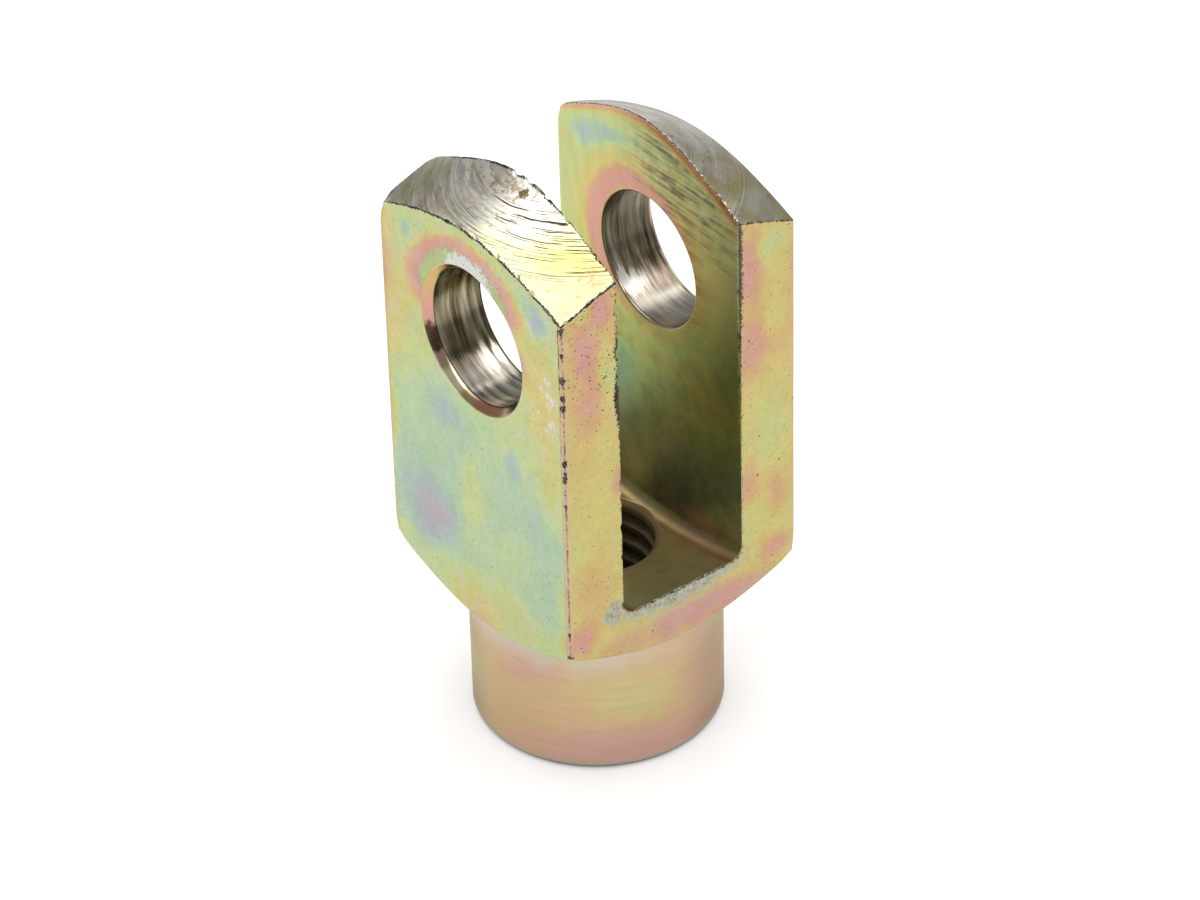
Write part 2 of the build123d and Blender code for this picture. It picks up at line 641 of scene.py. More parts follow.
class ForkMesh:
    """Lays out the fork head's surface as grids that share their rims."""

    INSETS = np.array([0.0, 0.03, 0.07, 0.12, 0.2, 0.34, 0.56, 0.85])
    INNER_INSET = 1.25
    RING_GAPS = np.array([0.8, 0.5, 0.3, 0.17, 0.08, 0.0])
    TOP_STEPS = 176
    SIDE_STEPS = 160
    FOOT_STEPS = 96
    CONE_STEPS = 52
    RATIO = 4

    def __init__(self, sizes: ForkSizes) -> None:
        """Work out the shared steps along each rim.

        Args:
            sizes: the fork head's sizes.
        """
        self.sizes = sizes
        self.skin = Skin()
        self.across = 2 * graded(self.TOP_STEPS, 1.0) - 1
        self.down = graded(self.SIDE_STEPS, 1.1)
        self.along_foot = 2 * graded(self.FOOT_STEPS, 0.8) - 1
        self.cone_share = graded(self.CONE_STEPS, 1.7)

    def rim(self, reach: float, inset: float, foot: Callable[[np.ndarray], np.ndarray]) -> np.ndarray:
        """Return a closed line round an ear's face: over the top, down, along the foot and up again.

        Args:
            reach: the face's distance from the middle plane.
            inset: how far the line lies inside the face's edges.
            foot: height of the face's lower edge at each y.

        Returns:
            Rows of y, z.
        """
        s = self.sizes
        half = s.half - inset
        y_top = half * self.across
        top = np.column_stack([y_top, s.top(reach, y_top) - inset])
        y_foot = half * self.along_foot[::-1]
        low = np.column_stack([y_foot, foot(y_foot) + inset])
        right = top[-1] + (low[0] - top[-1]) * self.down[:, None]
        left = low[-1] + (top[0] - low[-1]) * self.down[:, None]
        return np.concatenate([top[:-1], right[:-1], low[:-1], left[:-1]])

    def ring_turns(self) -> np.ndarray:
        """Return the angles about the pin of the hole's columns, over the top from -Y and round."""
        columns = (self.TOP_STEPS + 2 * self.SIDE_STEPS + self.FOOT_STEPS) // self.RATIO
        start = math.pi / 2 + math.pi * (self.TOP_STEPS / self.RATIO) / columns
        return start - 2 * math.pi * np.arange(columns) / columns

    def pin_rings(self, along: np.ndarray, radii: np.ndarray) -> np.ndarray:
        """Return rings about the pin's axis: radius times cosine and sine of the columns' angles.

        Args:
            along: each ring's x.
            radii: each ring's radius.

        Returns:
            Rings x columns x 3 points.
        """
        turn = self.ring_turns()
        y = radii[:, None] * np.cos(turn)
        return grid(along[:, None], y, self.sizes.pin_height + radii[:, None] * np.sin(turn))

    def ear_face(self, x: float, foot: Callable[[np.ndarray], np.ndarray], hole: float,
                 zone: Zone) -> None:
        """Add one flat face of an ear, from its outline in to its hole.

        Args:
            x: the face's place.
            foot: height of its lower edge at each y.
            hole: radius of the hole's rim on this face.
            zone: which machined surface it is.
        """
        def line(inset: float) -> np.ndarray:
            """Return the rim at an inset as x, y, z."""
            return grid(x, *self.rim(abs(x), inset, foot).T)

        rows = np.stack([line(inset) for inset in self.INSETS])
        self.skin.sheet(rows, zone, closed=True)
        sparse = line(self.INNER_INSET)[:: self.RATIO]
        self.skin.fan(rows[-1], sparse, zone, closed=True)
        rings = self.pin_rings(np.full(len(self.RING_GAPS), x), hole + self.RING_GAPS)
        field_rows = between(sparse, rings[0], np.linspace(0, 1, 9))
        self.skin.sheet(np.concatenate([field_rows, rings[1:]]), zone, closed=True)

    def bore(self, side: int) -> None:
        """Add one ear's hole: the outer chamfer, the bore and the small break at the slot.

        Args:
            side: -1 or 1, the ear's side.
        """
        s = self.sizes
        chamfer = np.linspace(0, 1, 5) * s.pin_countersink
        land_in = s.cheek + s.pin_deburr
        land = np.linspace(s.half - s.pin_countersink, land_in, 33)[1:]
        lip = np.array([0.5, 1.0]) * s.pin_deburr
        along = np.concatenate([s.half - chamfer, land, land_in - lip])
        bored = np.full(len(land), s.pin_radius)
        radii = np.concatenate([s.pin_radius + s.pin_countersink - chamfer, bored, s.pin_radius + lip])
        self.skin.sheet(self.pin_rings(side * along, radii), Zone.BORE, closed=True)

    def ear_steps(self, side: int, share: np.ndarray) -> np.ndarray:
        """Return each share's x through an ear, from its outer face in to the slot."""
        return side * (self.sizes.half + (self.sizes.cheek - self.sizes.half) * share)

    def top_cone(self, side: int) -> None:
        """Add one ear's turned end.

        Args:
            side: -1 or 1, the ear's side.
        """
        s = self.sizes
        x, y = np.meshgrid(self.ear_steps(side, self.cone_share), s.half * self.across, indexing="ij")
        self.skin.sheet(grid(x, y, s.top(x, y)), Zone.CONE)

    def floor_profile(self) -> np.ndarray:
        """Return the steps across the slot's floor, unrolled: its rounded corners and the flat.

        Returns:
            Lengths along the unrolled floor, from one ear to the other.
        """
        flat = self.sizes.floor_flat
        edge = flat + self.sizes.cutter_corner_radius * math.pi / 2
        corner = self.FOOT_STEPS // 8
        left = np.linspace(-edge, -flat, corner + 1)
        middle = np.linspace(-flat, flat, self.FOOT_STEPS - 2 * corner + 1)
        return np.concatenate([left[:-1], middle, -left[::-1][1:]])

    def floor_points(self, across: np.ndarray, y: np.ndarray | float) -> np.ndarray:
        """Return points of the slot's floor and of its rounded corners.

        Formula: past the flat, the way across turns into an angle round the cutter's corner, and the
        height is the cutter's axis less the drop of a circle about it.

        Args:
            across: distance from the middle, along the unrolled floor.
            y: along the slot.

        Returns:
            Points of the same shape, with x, y, z.
        """
        s = self.sizes
        corner = s.cutter_corner_radius
        turn = np.maximum(np.abs(across) - s.floor_flat, 0.0) / corner
        x = np.sign(across) * (np.minimum(np.abs(across), s.floor_flat) + corner * np.sin(turn))
        reach = s.cutter_radius - corner * (1 - np.cos(turn))
        return grid(x, y, s.cutter_height - np.sqrt(reach**2 - y**2))

    def fork_side(self, y: float) -> None:
        """Add the U-shaped face of one open side: down an ear, under the slot and up the other ear.

        Args:
            y: the face's place.
        """
        s = self.sizes
        share = graded(self.CONE_STEPS // self.RATIO, 1.7)
        x = s.half * self.along_foot
        foot = between(grid(x, y, s.under(x, y)), self.floor_points(self.floor_profile(), y), share)
        for side, column in ((-1, 0), (1, -1)):
            x = self.ear_steps(side, share)
            high = s.top(x, y)[:, None]
            strip = grid(x[:, None], y, high + (foot[:, column, 2:] - high) * self.down[1:])
            self.skin.sheet(strip, Zone.FLAT)
            x = self.ear_steps(side, self.cone_share)
            self.skin.fan(grid(x, y, s.top(x, y)), strip[:, 0], Zone.FLAT)
        self.skin.sheet(foot, Zone.FLAT)

    def turned_rings(self, radii: np.ndarray, heights: np.ndarray, turn: np.ndarray) -> np.ndarray:
        """Return rings about the rod's axis, one for each radius and height."""
        return grid(radii[:, None] * np.cos(turn), radii[:, None] * np.sin(turn), heights[:, None])

    def underside(self) -> np.ndarray:
        """Add the lower cone, the neck, its foot and the tapped hole's lower edge break.

        Returns:
            The angles of the tapped hole's columns.
        """
        s = self.sizes
        quarter = np.arctan(self.along_foot[:-1])
        turn = np.concatenate([quarter + math.pi / 2 * k for k in range(4)])
        edge = s.half / np.maximum(np.abs(np.cos(turn)), np.abs(np.sin(turn)))
        root_r = s.neck_radius + 0.3
        share = graded(20, 1.6)[:11] * 2
        share = np.concatenate([share[:-1] * 0.9, [0.93, 1.0]])
        rad = edge[None] + (root_r - edge)[None] * share[:, None]
        x, y = rad * np.cos(turn), rad * np.sin(turn)
        cone = grid(x, y, s.under(x, y))
        self.skin.sheet(cone, Zone.NECK, closed=True)
        columns = turn[::2]
        radii = [root_r - 0.1, root_r - 0.2] + [s.neck_radius] * 4
        heights = s.neck_length + np.array([0.115, 0.06, 0, -0.1, -0.2, -0.35])
        wall = np.linspace(s.neck_length - 0.5, s.neck_edge_radius + 0.1, 28)
        arc = np.linspace(0, math.pi / 2, 8)
        round_r = s.neck_radius - s.neck_edge_radius * (1 - np.cos(arc))
        round_z = s.neck_edge_radius * (1 - np.sin(arc))
        face = np.linspace(s.neck_radius - s.neck_edge_radius, s.thread_mouth_radius + 0.3, 5)[1:]
        radii = np.concatenate([radii, np.full(len(wall), s.neck_radius), round_r, face])
        heights = np.concatenate([heights, wall, round_z, np.zeros(len(face))])
        rings = self.turned_rings(radii, heights, columns)
        self.skin.fan(cone[-1], rings[0], Zone.NECK, closed=True)
        self.skin.sheet(rings, Zone.NECK, closed=True)
        thread_turn = columns[::2]
        lips = np.array([s.thread_mouth_radius + 0.08, s.thread_mouth_radius])
        mouth = self.turned_rings(lips, np.zeros(2), thread_turn)
        self.skin.fan(rings[-1], mouth[0], Zone.NECK, closed=True)
        self.skin.sheet(mouth, Zone.NECK, closed=True)
        return thread_turn

    def thread(self, low_turn: np.ndarray, high_turn: np.ndarray) -> None:
        """Add the tapped hole from its lower mouth to the slot's floor.

        Args:
            low_turn: angles of the columns at the foot.
            high_turn: angles of the same columns at the floor, which may differ a little.
        """
        s = self.sizes
        break_depth = s.thread_mouth_radius - s.tap_drill_radius
        lower = np.linspace(0, 1, 6)[:-1] * break_depth
        upper = np.linspace(0, 1, 5)[1:]
        wall = np.linspace(break_depth, s.mouth_height, 100)
        radii = np.concatenate([s.thread_mouth_radius - lower, np.full(len(wall), s.tap_drill_radius)])
        heights = np.concatenate([lower, wall])
        swing = (high_turn - low_turn + math.pi) % (2 * math.pi) - math.pi
        turn = low_turn + swing * (heights / heights[-1])[:, None]
        rows = self.turned_rings(radii, heights, turn)
        rows = np.concatenate([rows, between(rows[-1], self.mouth_ring(high_turn, 0.0), upper)])
        self.skin.sheet(rows, Zone.THREAD, closed=True)

    def mouth_ring(self, turn: np.ndarray, gap: float) -> np.ndarray:
        """Return the ring where the tapped hole's edge break meets the slot's floor, or one round it.

        Args:
            turn: angles about the rod's axis.
            gap: distance outside the mouth.

        Returns:
            Points on the floor.
        """
        def on_floor(radius: np.ndarray) -> np.ndarray:
            """Return the floor's points at a radius from the rod's axis."""
            return self.floor_points(self.unrolled(radius * np.cos(turn)), radius * np.sin(turn))

        s = self.sizes
        radius = np.full_like(turn, s.tap_drill_radius + s.thread_deburr)
        for _ in range(4):
            radius = s.tap_drill_radius + on_floor(radius)[:, 2] - s.mouth_height
        return on_floor(radius + gap)

    def unrolled(self, x: np.ndarray) -> np.ndarray:
        """Return how far across the unrolled floor a point at x lies."""
        flat, corner = self.sizes.floor_flat, self.sizes.cutter_corner_radius
        past = np.clip((np.abs(x) - flat) / corner, 0.0, 1.0)
        return np.sign(x) * (np.minimum(np.abs(x), flat) + corner * np.arcsin(past))

    def slot_floor(self) -> np.ndarray:
        """Add the slot's floor, from its edges in to the tapped hole's mouth.

        Returns:
            The angles of the tapped hole's columns at the floor.
        """
        profile = self.floor_profile()
        reach = profile[-1]

        def line(inset: float) -> tuple[np.ndarray, np.ndarray]:
            """Return the floor's rim at an inset, as unrolled x and y, starting at the +X, -Y corner.

            Args:
                inset: distance inside the outline.

            Returns:
                The two coordinates of its points.
            """
            xs = profile * (1 - 0.3 * inset / reach)
            ys = self.along_foot * (self.sizes.half - inset)
            ones = np.ones(self.FOOT_STEPS)
            a = np.concatenate([xs[-1] * ones, xs[::-1][:-1], xs[0] * ones, xs[:-1]])
            b = np.concatenate([ys[:-1], ys[-1] * ones, ys[::-1][:-1], ys[0] * ones])
            return a, b

        dense = np.stack([self.floor_points(*line(inset)) for inset in self.INSETS])
        self.skin.sheet(dense, Zone.SLOT, closed=True)
        corner = math.radians(52)
        u = np.linspace(-1, 1, self.FOOT_STEPS + 1)[:-1]
        turn = np.concatenate([u * corner, math.pi / 2 + u * (math.pi / 2 - corner),
                               math.pi + u * corner, 1.5 * math.pi + u * (math.pi / 2 - corner)])
        a, b = line(self.INNER_INSET)
        outer = np.stack([a[::2], b[::2]], axis=-1)
        ring = self.mouth_ring(turn[::2], 0.08)
        inner = np.stack([self.unrolled(ring[:, 0]), ring[:, 1]], axis=-1)
        share = graded(12, 1.3)
        plane = between(outer, inner, share)
        middle = self.floor_points(*np.moveaxis(plane, -1, 0))
        self.skin.fan(dense[-1], middle[0], Zone.SLOT, closed=True)
        self.skin.sheet(middle, Zone.SLOT, closed=True)
        mouth_turn = turn[::4]
        self.skin.fan(middle[-1], self.mouth_ring(mouth_turn, 0.0), Zone.SLOT, closed=True)
        return mouth_turn

    def build(self) -> Skin:
        """Lay out every surface and return the skin.

        Returns:
            The skin, with its points and faces.
        """
        s = self.sizes
        for side in (-1, 1):
            self.ear_face(side * s.half, lambda y: s.under(s.half, y), s.pin_radius + s.pin_countersink,
                          Zone.FLAT)
            self.ear_face(side * s.cheek, s.cheek_foot, s.pin_radius + s.pin_deburr, Zone.SLOT)
            self.bore(side)
            self.top_cone(side)
            self.fork_side(side * s.half)
        self.thread(self.underside(), self.slot_floor())
        return self.skin


def placed(name: str, data: bpy.types.ID) -> bpy.types.Object:
    """Put a mesh, a camera or a lamp into the scene as an object."""
    obj = bpy.data.objects.new(name, data)
    bpy.context.scene.collection.objects.link(obj)
    return obj


def make_object(name: str, points: np.ndarray, faces: dict[int, np.ndarray],
                zones: dict[int, np.ndarray]) -> bpy.types.Object:
    """Put arrays of points and faces into a mesh object.

    Args:
        name: the object's name.
        points: rows of x, y, z in metres.
        faces: triangles and quads, by number of sides.
        zones: each face's material number.

    Returns:
        The object, linked to the scene.
    """
    mesh = bpy.data.meshes.new(name)
    mesh.vertices.add(len(points))
    mesh.vertices.foreach_set("co", points.ravel())
    sides = np.concatenate([np.full(len(faces[n]), n) for n in (3, 4)])
    loops = np.concatenate([faces[n].ravel() for n in (3, 4)])
    mesh.loops.add(len(loops))
    mesh.loops.foreach_set("vertex_index", loops.astype(np.int32))
    mesh.polygons.add(len(sides))
    starts = np.concatenate([[0], np.cumsum(sides)[:-1]])
    mesh.polygons.foreach_set("loop_start", starts.astype(np.int32))
    slots = np.concatenate([zones[n] for n in (3, 4)])
    mesh.polygons.foreach_set("material_index", slots.astype(np.int32))
    mesh.polygons.foreach_set("use_smooth", np.ones(len(sides), dtype=bool))
    mesh.update(calc_edges=True)
    mesh.validate(verbose=True)
    turned = bmesh.new()
    turned.from_mesh(mesh)
    bmesh.ops.recalc_face_normals(turned, faces=turned.faces)
    turned.to_mesh(mesh)
    turned.free()
    return placed(name, mesh)


# --------------------------------------------------------------------------------------------
# Finishes
# --------------------------------------------------------------------------------------------


Colour = tuple[float, float, float, float]
Place = tuple[float, float, float]
Stops = tuple[tuple[float, str], ...]


def paint(code: str) -> Colour:
    """Turn a colour written as six hexadecimal digits into the linear colour that shaders take."""
    parts = [int(code[i:i + 2], 16) / 255 for i in (0, 2, 4)]
    red, green, blue = (p / 12.92 if p <= 0.04045 else ((p + 0.055) / 1.055) ** 2.4 for p in parts)
    return (red, green, blue, 1.0)


class Film(Enum):
    """Tints of the passivation film: its thickness, from 0 to 1, and its colour."""

    LILAC = (0.0, "BDB2B6")
    BLUE = (0.10, "B4BFC0")
    TEAL = (0.21, "B6D0B0")
    GREEN = (0.32, "CBD99A")
    LIME = (0.43, "CFD38F")
    YELLOW = (0.54, "DCCD82")
    AMBER = (0.64, "DDBB80")
    SALMON = (0.74, "DDAB8E")
    PINK = (0.83, "DFA79A")
    ROSE = (0.90, "CDA994")
    DEEP_GREEN = (1.0, "B2C67A")

    def __init__(self, level: float, code: str) -> None:
        """Keep the film's thickness and its colour."""
        self.level = level
        self.code = code


class Signal:
    """A number, place or colour in a material; sums and products of signals lay out their own nodes."""

    def __init__(self, bench: "Bench", socket: Socket) -> None:
        """Keep the bench and the socket that gives the value."""
        self.bench = bench
        self.socket = socket

    def __add__(self, other: Any) -> "Signal":
        """Return the sum."""
        return self.bench.math("ADD", self, other)

    def __sub__(self, other: Any) -> "Signal":
        """Return this number less another."""
        return self.bench.math("SUBTRACT", self, other)

    def __rsub__(self, other: float) -> "Signal":
        """Return another number less this one."""
        return self.bench.math("SUBTRACT", other, self)

    def __mul__(self, other: Any) -> "Signal":
        """Return the product."""
        return self.bench.math("MULTIPLY", self, other)

    def __abs__(self) -> "Signal":
        """Return the number without its sign."""
        return self.bench.math("ABSOLUTE", self)

    def most(self, other: Any) -> "Signal":
        """Return the greater of two numbers."""
        return self.bench.math("MAXIMUM", self, other)

    def ease(self, low: float, high: float, to_low: Any = 0.0, to_high: Any = 1.0,
             kind: str = "SMOOTHSTEP") -> "Signal":
        """Return the number carried from one range to another, held at its ends and eased between."""
        inputs = dict(enumerate((self, low, high, to_low, to_high)))
        return self.bench.node("ShaderNodeMapRange", inputs, interpolation_type=kind)

    def even(self, low: float, high: float, to_low: Any = 0.0, to_high: Any = 1.0) -> "Signal":
        """Return the number carried from one range to another, held at its ends and straight between."""
        return self.ease(low, high, to_low, to_high, "LINEAR")

    def window(self, start: float, full: float, fade: float, end: float) -> "Signal":
        """Return 1 from full to fade, eased to 0 at start and at end."""
        return self.ease(start, full) * self.ease(end, fade)

    def ramp(self, stops: Stops) -> "Signal":
        """Return the colour that the number picks from a row of colours.

        Args:
            stops: each colour's position and code, in rising order.

        Returns:
            The colour.
        """
        node = self.bench.add("ShaderNodeValToRGB", {"Fac": self})
        row = node.color_ramp.elements
        for element, (position, code) in ((row[0], stops[0]), (row[1], stops[-1])):
            element.position = position
            element.color = paint(code)
        for position, code in stops[1:-1]:
            row.new(position).color = paint(code)
        return Signal(self.bench, node.outputs["Color"])

    def tint(self, share: Any, other: Any, mode: str = "MIX") -> "Signal":
        """Return this colour drawn by a share to another, or combined with it in another way."""
        return self.bench.tint(share, self, other, mode)

    def shade(self, tone: Any, share: "Signal | None" = None) -> "Signal":
        """Return this colour made lighter or darker by a number, or by a share of it."""
        if share is not None:
            tone = self.bench.blend(share, 1.0, tone)
        return self.bench.scaled(self, tone)

    def bump(self, depth: float, under: "Signal | None" = None) -> "Signal":
        """Return a normal tilted by this height, in millimetres for each unit of it.

        Args:
            depth: how high one unit of the number stands.
            under: a normal that is tilted already, if any.

        Returns:
            The normal.
        """
        inputs = {"Distance": depth * MM, "Height": self}
        if under is not None:
            inputs["Normal"] = under
        return self.bench.node("ShaderNodeBump", inputs)


class Bench:
    """Lays out the nodes of one material, whose patterns are placed in millimetres."""

    def __init__(self, name: str) -> None:
        """Start the material.

        Args:
            name: the material's name.
        """
        self.material = bpy.data.materials.new(name)
        self.material.use_nodes = True
        self.tree = self.material.node_tree
        self.tree.nodes.clear()
        self.warps: dict[tuple[float, float], Signal] = {}
        self.where = self.scaled(self.node("ShaderNodeTexCoord", {}, "Object"), 1 / MM)

    @cached_property
    def x(self) -> Signal:
        """The place's x."""
        return self.toward((1, 0, 0))

    @cached_property
    def y(self) -> Signal:
        """The place's y."""
        return self.toward((0, 1, 0))

    @cached_property
    def z(self) -> Signal:
        """The place's height."""
        return self.toward((0, 0, 1))

    def feed(self, socket: Socket, value: Any) -> None:
        """Give a socket a signal, a colour's code or a plain value.

        Args:
            socket: the socket.
            value: what it is given.
        """
        if isinstance(value, Signal):
            self.tree.links.new(value.socket, socket)
        else:
            socket.default_value = paint(value) if isinstance(value, str) else value

    def add(self, kind: str, inputs: dict[Any, Any], **settings: Any) -> Node:
        """Add a node, set its properties and feed its inputs, by name or number.

        Args:
            kind: the node's type.
            inputs: what its inputs are given.
            settings: its properties.

        Returns:
            The node.
        """
        node = self.tree.nodes.new(kind)
        for name, value in settings.items():
            setattr(node, name, value)
        for name, value in inputs.items():
            self.feed(node.inputs[name], value)
        return node

    def node(self, kind: str, inputs: dict[Any, Any], output: int | str = 0, **settings: Any) -> Signal:
        """Add a node in the same way and return one of its outputs."""
        return Signal(self, self.add(kind, inputs, **settings).outputs[output])

    def math(self, operation: str, *values: Any, clamp: bool = False) -> Signal:
        """Return the result of a Math node."""
        return self.node("ShaderNodeMath", dict(enumerate(values)), operation=operation, use_clamp=clamp)

    def vector(self, operation: str, *values: Any) -> Signal:
        """Return the result of a Vector Math node: its number where it has one, its vector otherwise."""
        output = "Value" if operation in ("LENGTH", "DOT_PRODUCT") else "Vector"
        return self.node("ShaderNodeVectorMath", dict(enumerate(values)), output, operation=operation)

    def scaled(self, vector: Any, factor: Any) -> Signal:
        """Return a place or a colour times a number."""
        return self.node("ShaderNodeVectorMath", {0: vector, "Scale": factor}, operation="SCALE")

    def toward(self, axis: Place, where: Signal | None = None) -> Signal:
        """Return how far the place, or another, lies toward an axis."""
        return self.vector("DOT_PRODUCT", where or self.where, axis)

    def from_axis(self, where: Signal | None = None) -> Signal:
        """Return how far the place, or another, lies from the rod's axis."""
        return self.vector("LENGTH", self.vector("MULTIPLY", where or self.where, (1, 1, 0)))

    def carried(self, name: str) -> Signal:
        """Return a number that the mesh carries."""
        return self.node("ShaderNodeAttribute", {}, "Fac", attribute_name=name)

    def blend(self, share: Signal, first: Any, second: Any) -> Signal:
        """Return a number between two others."""
        return self.node("ShaderNodeMix", {0: share, 2: first, 3: second}, data_type="FLOAT")

    def tint(self, share: Any, first: Any, second: Any, mode: str = "MIX") -> Signal:
        """Return a colour between two others, or the two combined in another way."""
        inputs = {0: share, 6: first, 7: second}
        return self.node("ShaderNodeMix", inputs, 2, data_type="RGBA", blend_type=mode)

    def noise(self, size: float, detail: float = 2.0, rough: float = 0.5, where: Signal | None = None,
              output: str = "Fac") -> Signal:
        """Return smooth noise round one half whose lumps are about size millimetres across."""
        inputs = {"Vector": where or self.where, "Scale": 1 / size, "Detail": detail, "Roughness": rough}
        return self.node("ShaderNodeTexNoise", inputs, output)

    def warped(self, size: float, reach: float) -> Signal:
        """Return the place pushed about by noise, up to about reach millimetres.

        Args:
            size: the size of the noise.
            reach: how far it pushes.

        Returns:
            The place, made once for each size and reach.
        """
        if (size, reach) not in self.warps:
            push = self.vector("SUBTRACT", self.noise(size, 3.0, output="Color"), (0.5, 0.5, 0.5))
            self.warps[size, reach] = self.vector("ADD", self.where, self.scaled(push, 2 * reach))
        return self.warps[size, reach]

    def streaked(self, spread: Place, detail: float, rough: float,
                 turn: Place = (0.0, 0.0, 0.0)) -> Signal:
        """Return noise as long as spread along each axis, turned by degrees about the axes."""
        angles = [math.radians(angle) for angle in turn]
        inputs = {"Vector": self.where, "Rotation": angles, "Scale": [1 / length for length in spread]}
        return self.noise(1.0, detail, rough, self.node("ShaderNodeMapping", inputs))

    def ringed(self, size: float, around: float, detail: float, rough: float = 0.5) -> Signal:
        """Return noise that lies in slightly wandering rings about the rod's axis.

        Args:
            size: distance from ring to ring.
            around: how much the noise changes round a ring.
            detail: how many finer layers it has.
            rough: how strong they are.

        Returns:
            Noise round one half.
        """
        across = self.vector("MULTIPLY", self.warped(2.5, 0.05), (1, 1, 0))
        turn = self.scaled(self.vector("NORMALIZE", across), around)
        inputs = {"X": self.vector("LENGTH", across) * (1 / size),
                  "Y": self.toward((1, 0, 0), turn), "Z": self.toward((0, 1, 0), turn)}
        return self.noise(1.0, detail, rough, self.node("ShaderNodeCombineXYZ", inputs))

    def spot(self, centre: Place, spread: Place, warp: tuple[float, float] | None = None) -> Signal:
        """Return 1 in the middle of a soft-edged egg, 0 outside it.

        Args:
            centre: the egg's middle.
            spread: its half-lengths.
            warp: the size and reach of the noise that pushes it out of shape, if any.

        Returns:
            The eased share.
        """
        where = self.warped(*warp) if warp else self.where
        shrink = tuple(1 / length for length in spread)
        shift = tuple(-c / length for c, length in zip(centre, spread))
        way = self.vector("LENGTH", self.vector("MULTIPLY_ADD", where, shrink, shift))
        return way.ease(0.0, 1.0, 1.0, 0.0)

    def shown(self, shader: Signal) -> bpy.types.Material:
        """Lay a shader on the material's surface and return the material."""
        self.add("ShaderNodeOutputMaterial", {"Surface": shader})
        return self.material


@dataclass(frozen=True)
class FilmSpot:
    """A place where the film has a tint of its own; a strength over 1 gives it a wider middle."""

    film: Film
    centre: Place
    spread: Place
    strength: float


def on_face(axis: int, place: float, *rows: tuple[Film, float, float, float, float, float]
            ) -> list[FilmSpot]:
    """Return spots of film on a flat face.

    Args:
        axis: the face's own axis, 0 for x or 1 for y.
        place: where the face lies on it.
        rows: each spot's film, its middle across and up the face, its half-lengths the same way and
            its strength.

    Returns:
        The spots, each reaching 3 mm to both sides of the face.
    """
    depth = 3
    spots = []
    for film, across, up, half_across, half_up, strength in rows:
        centre = [across, up]
        centre.insert(axis, place)
        spread = [half_across, half_up]
        spread.insert(axis, depth)
        spots.append(FilmSpot(film, tuple(centre), tuple(spread), strength))
    return spots


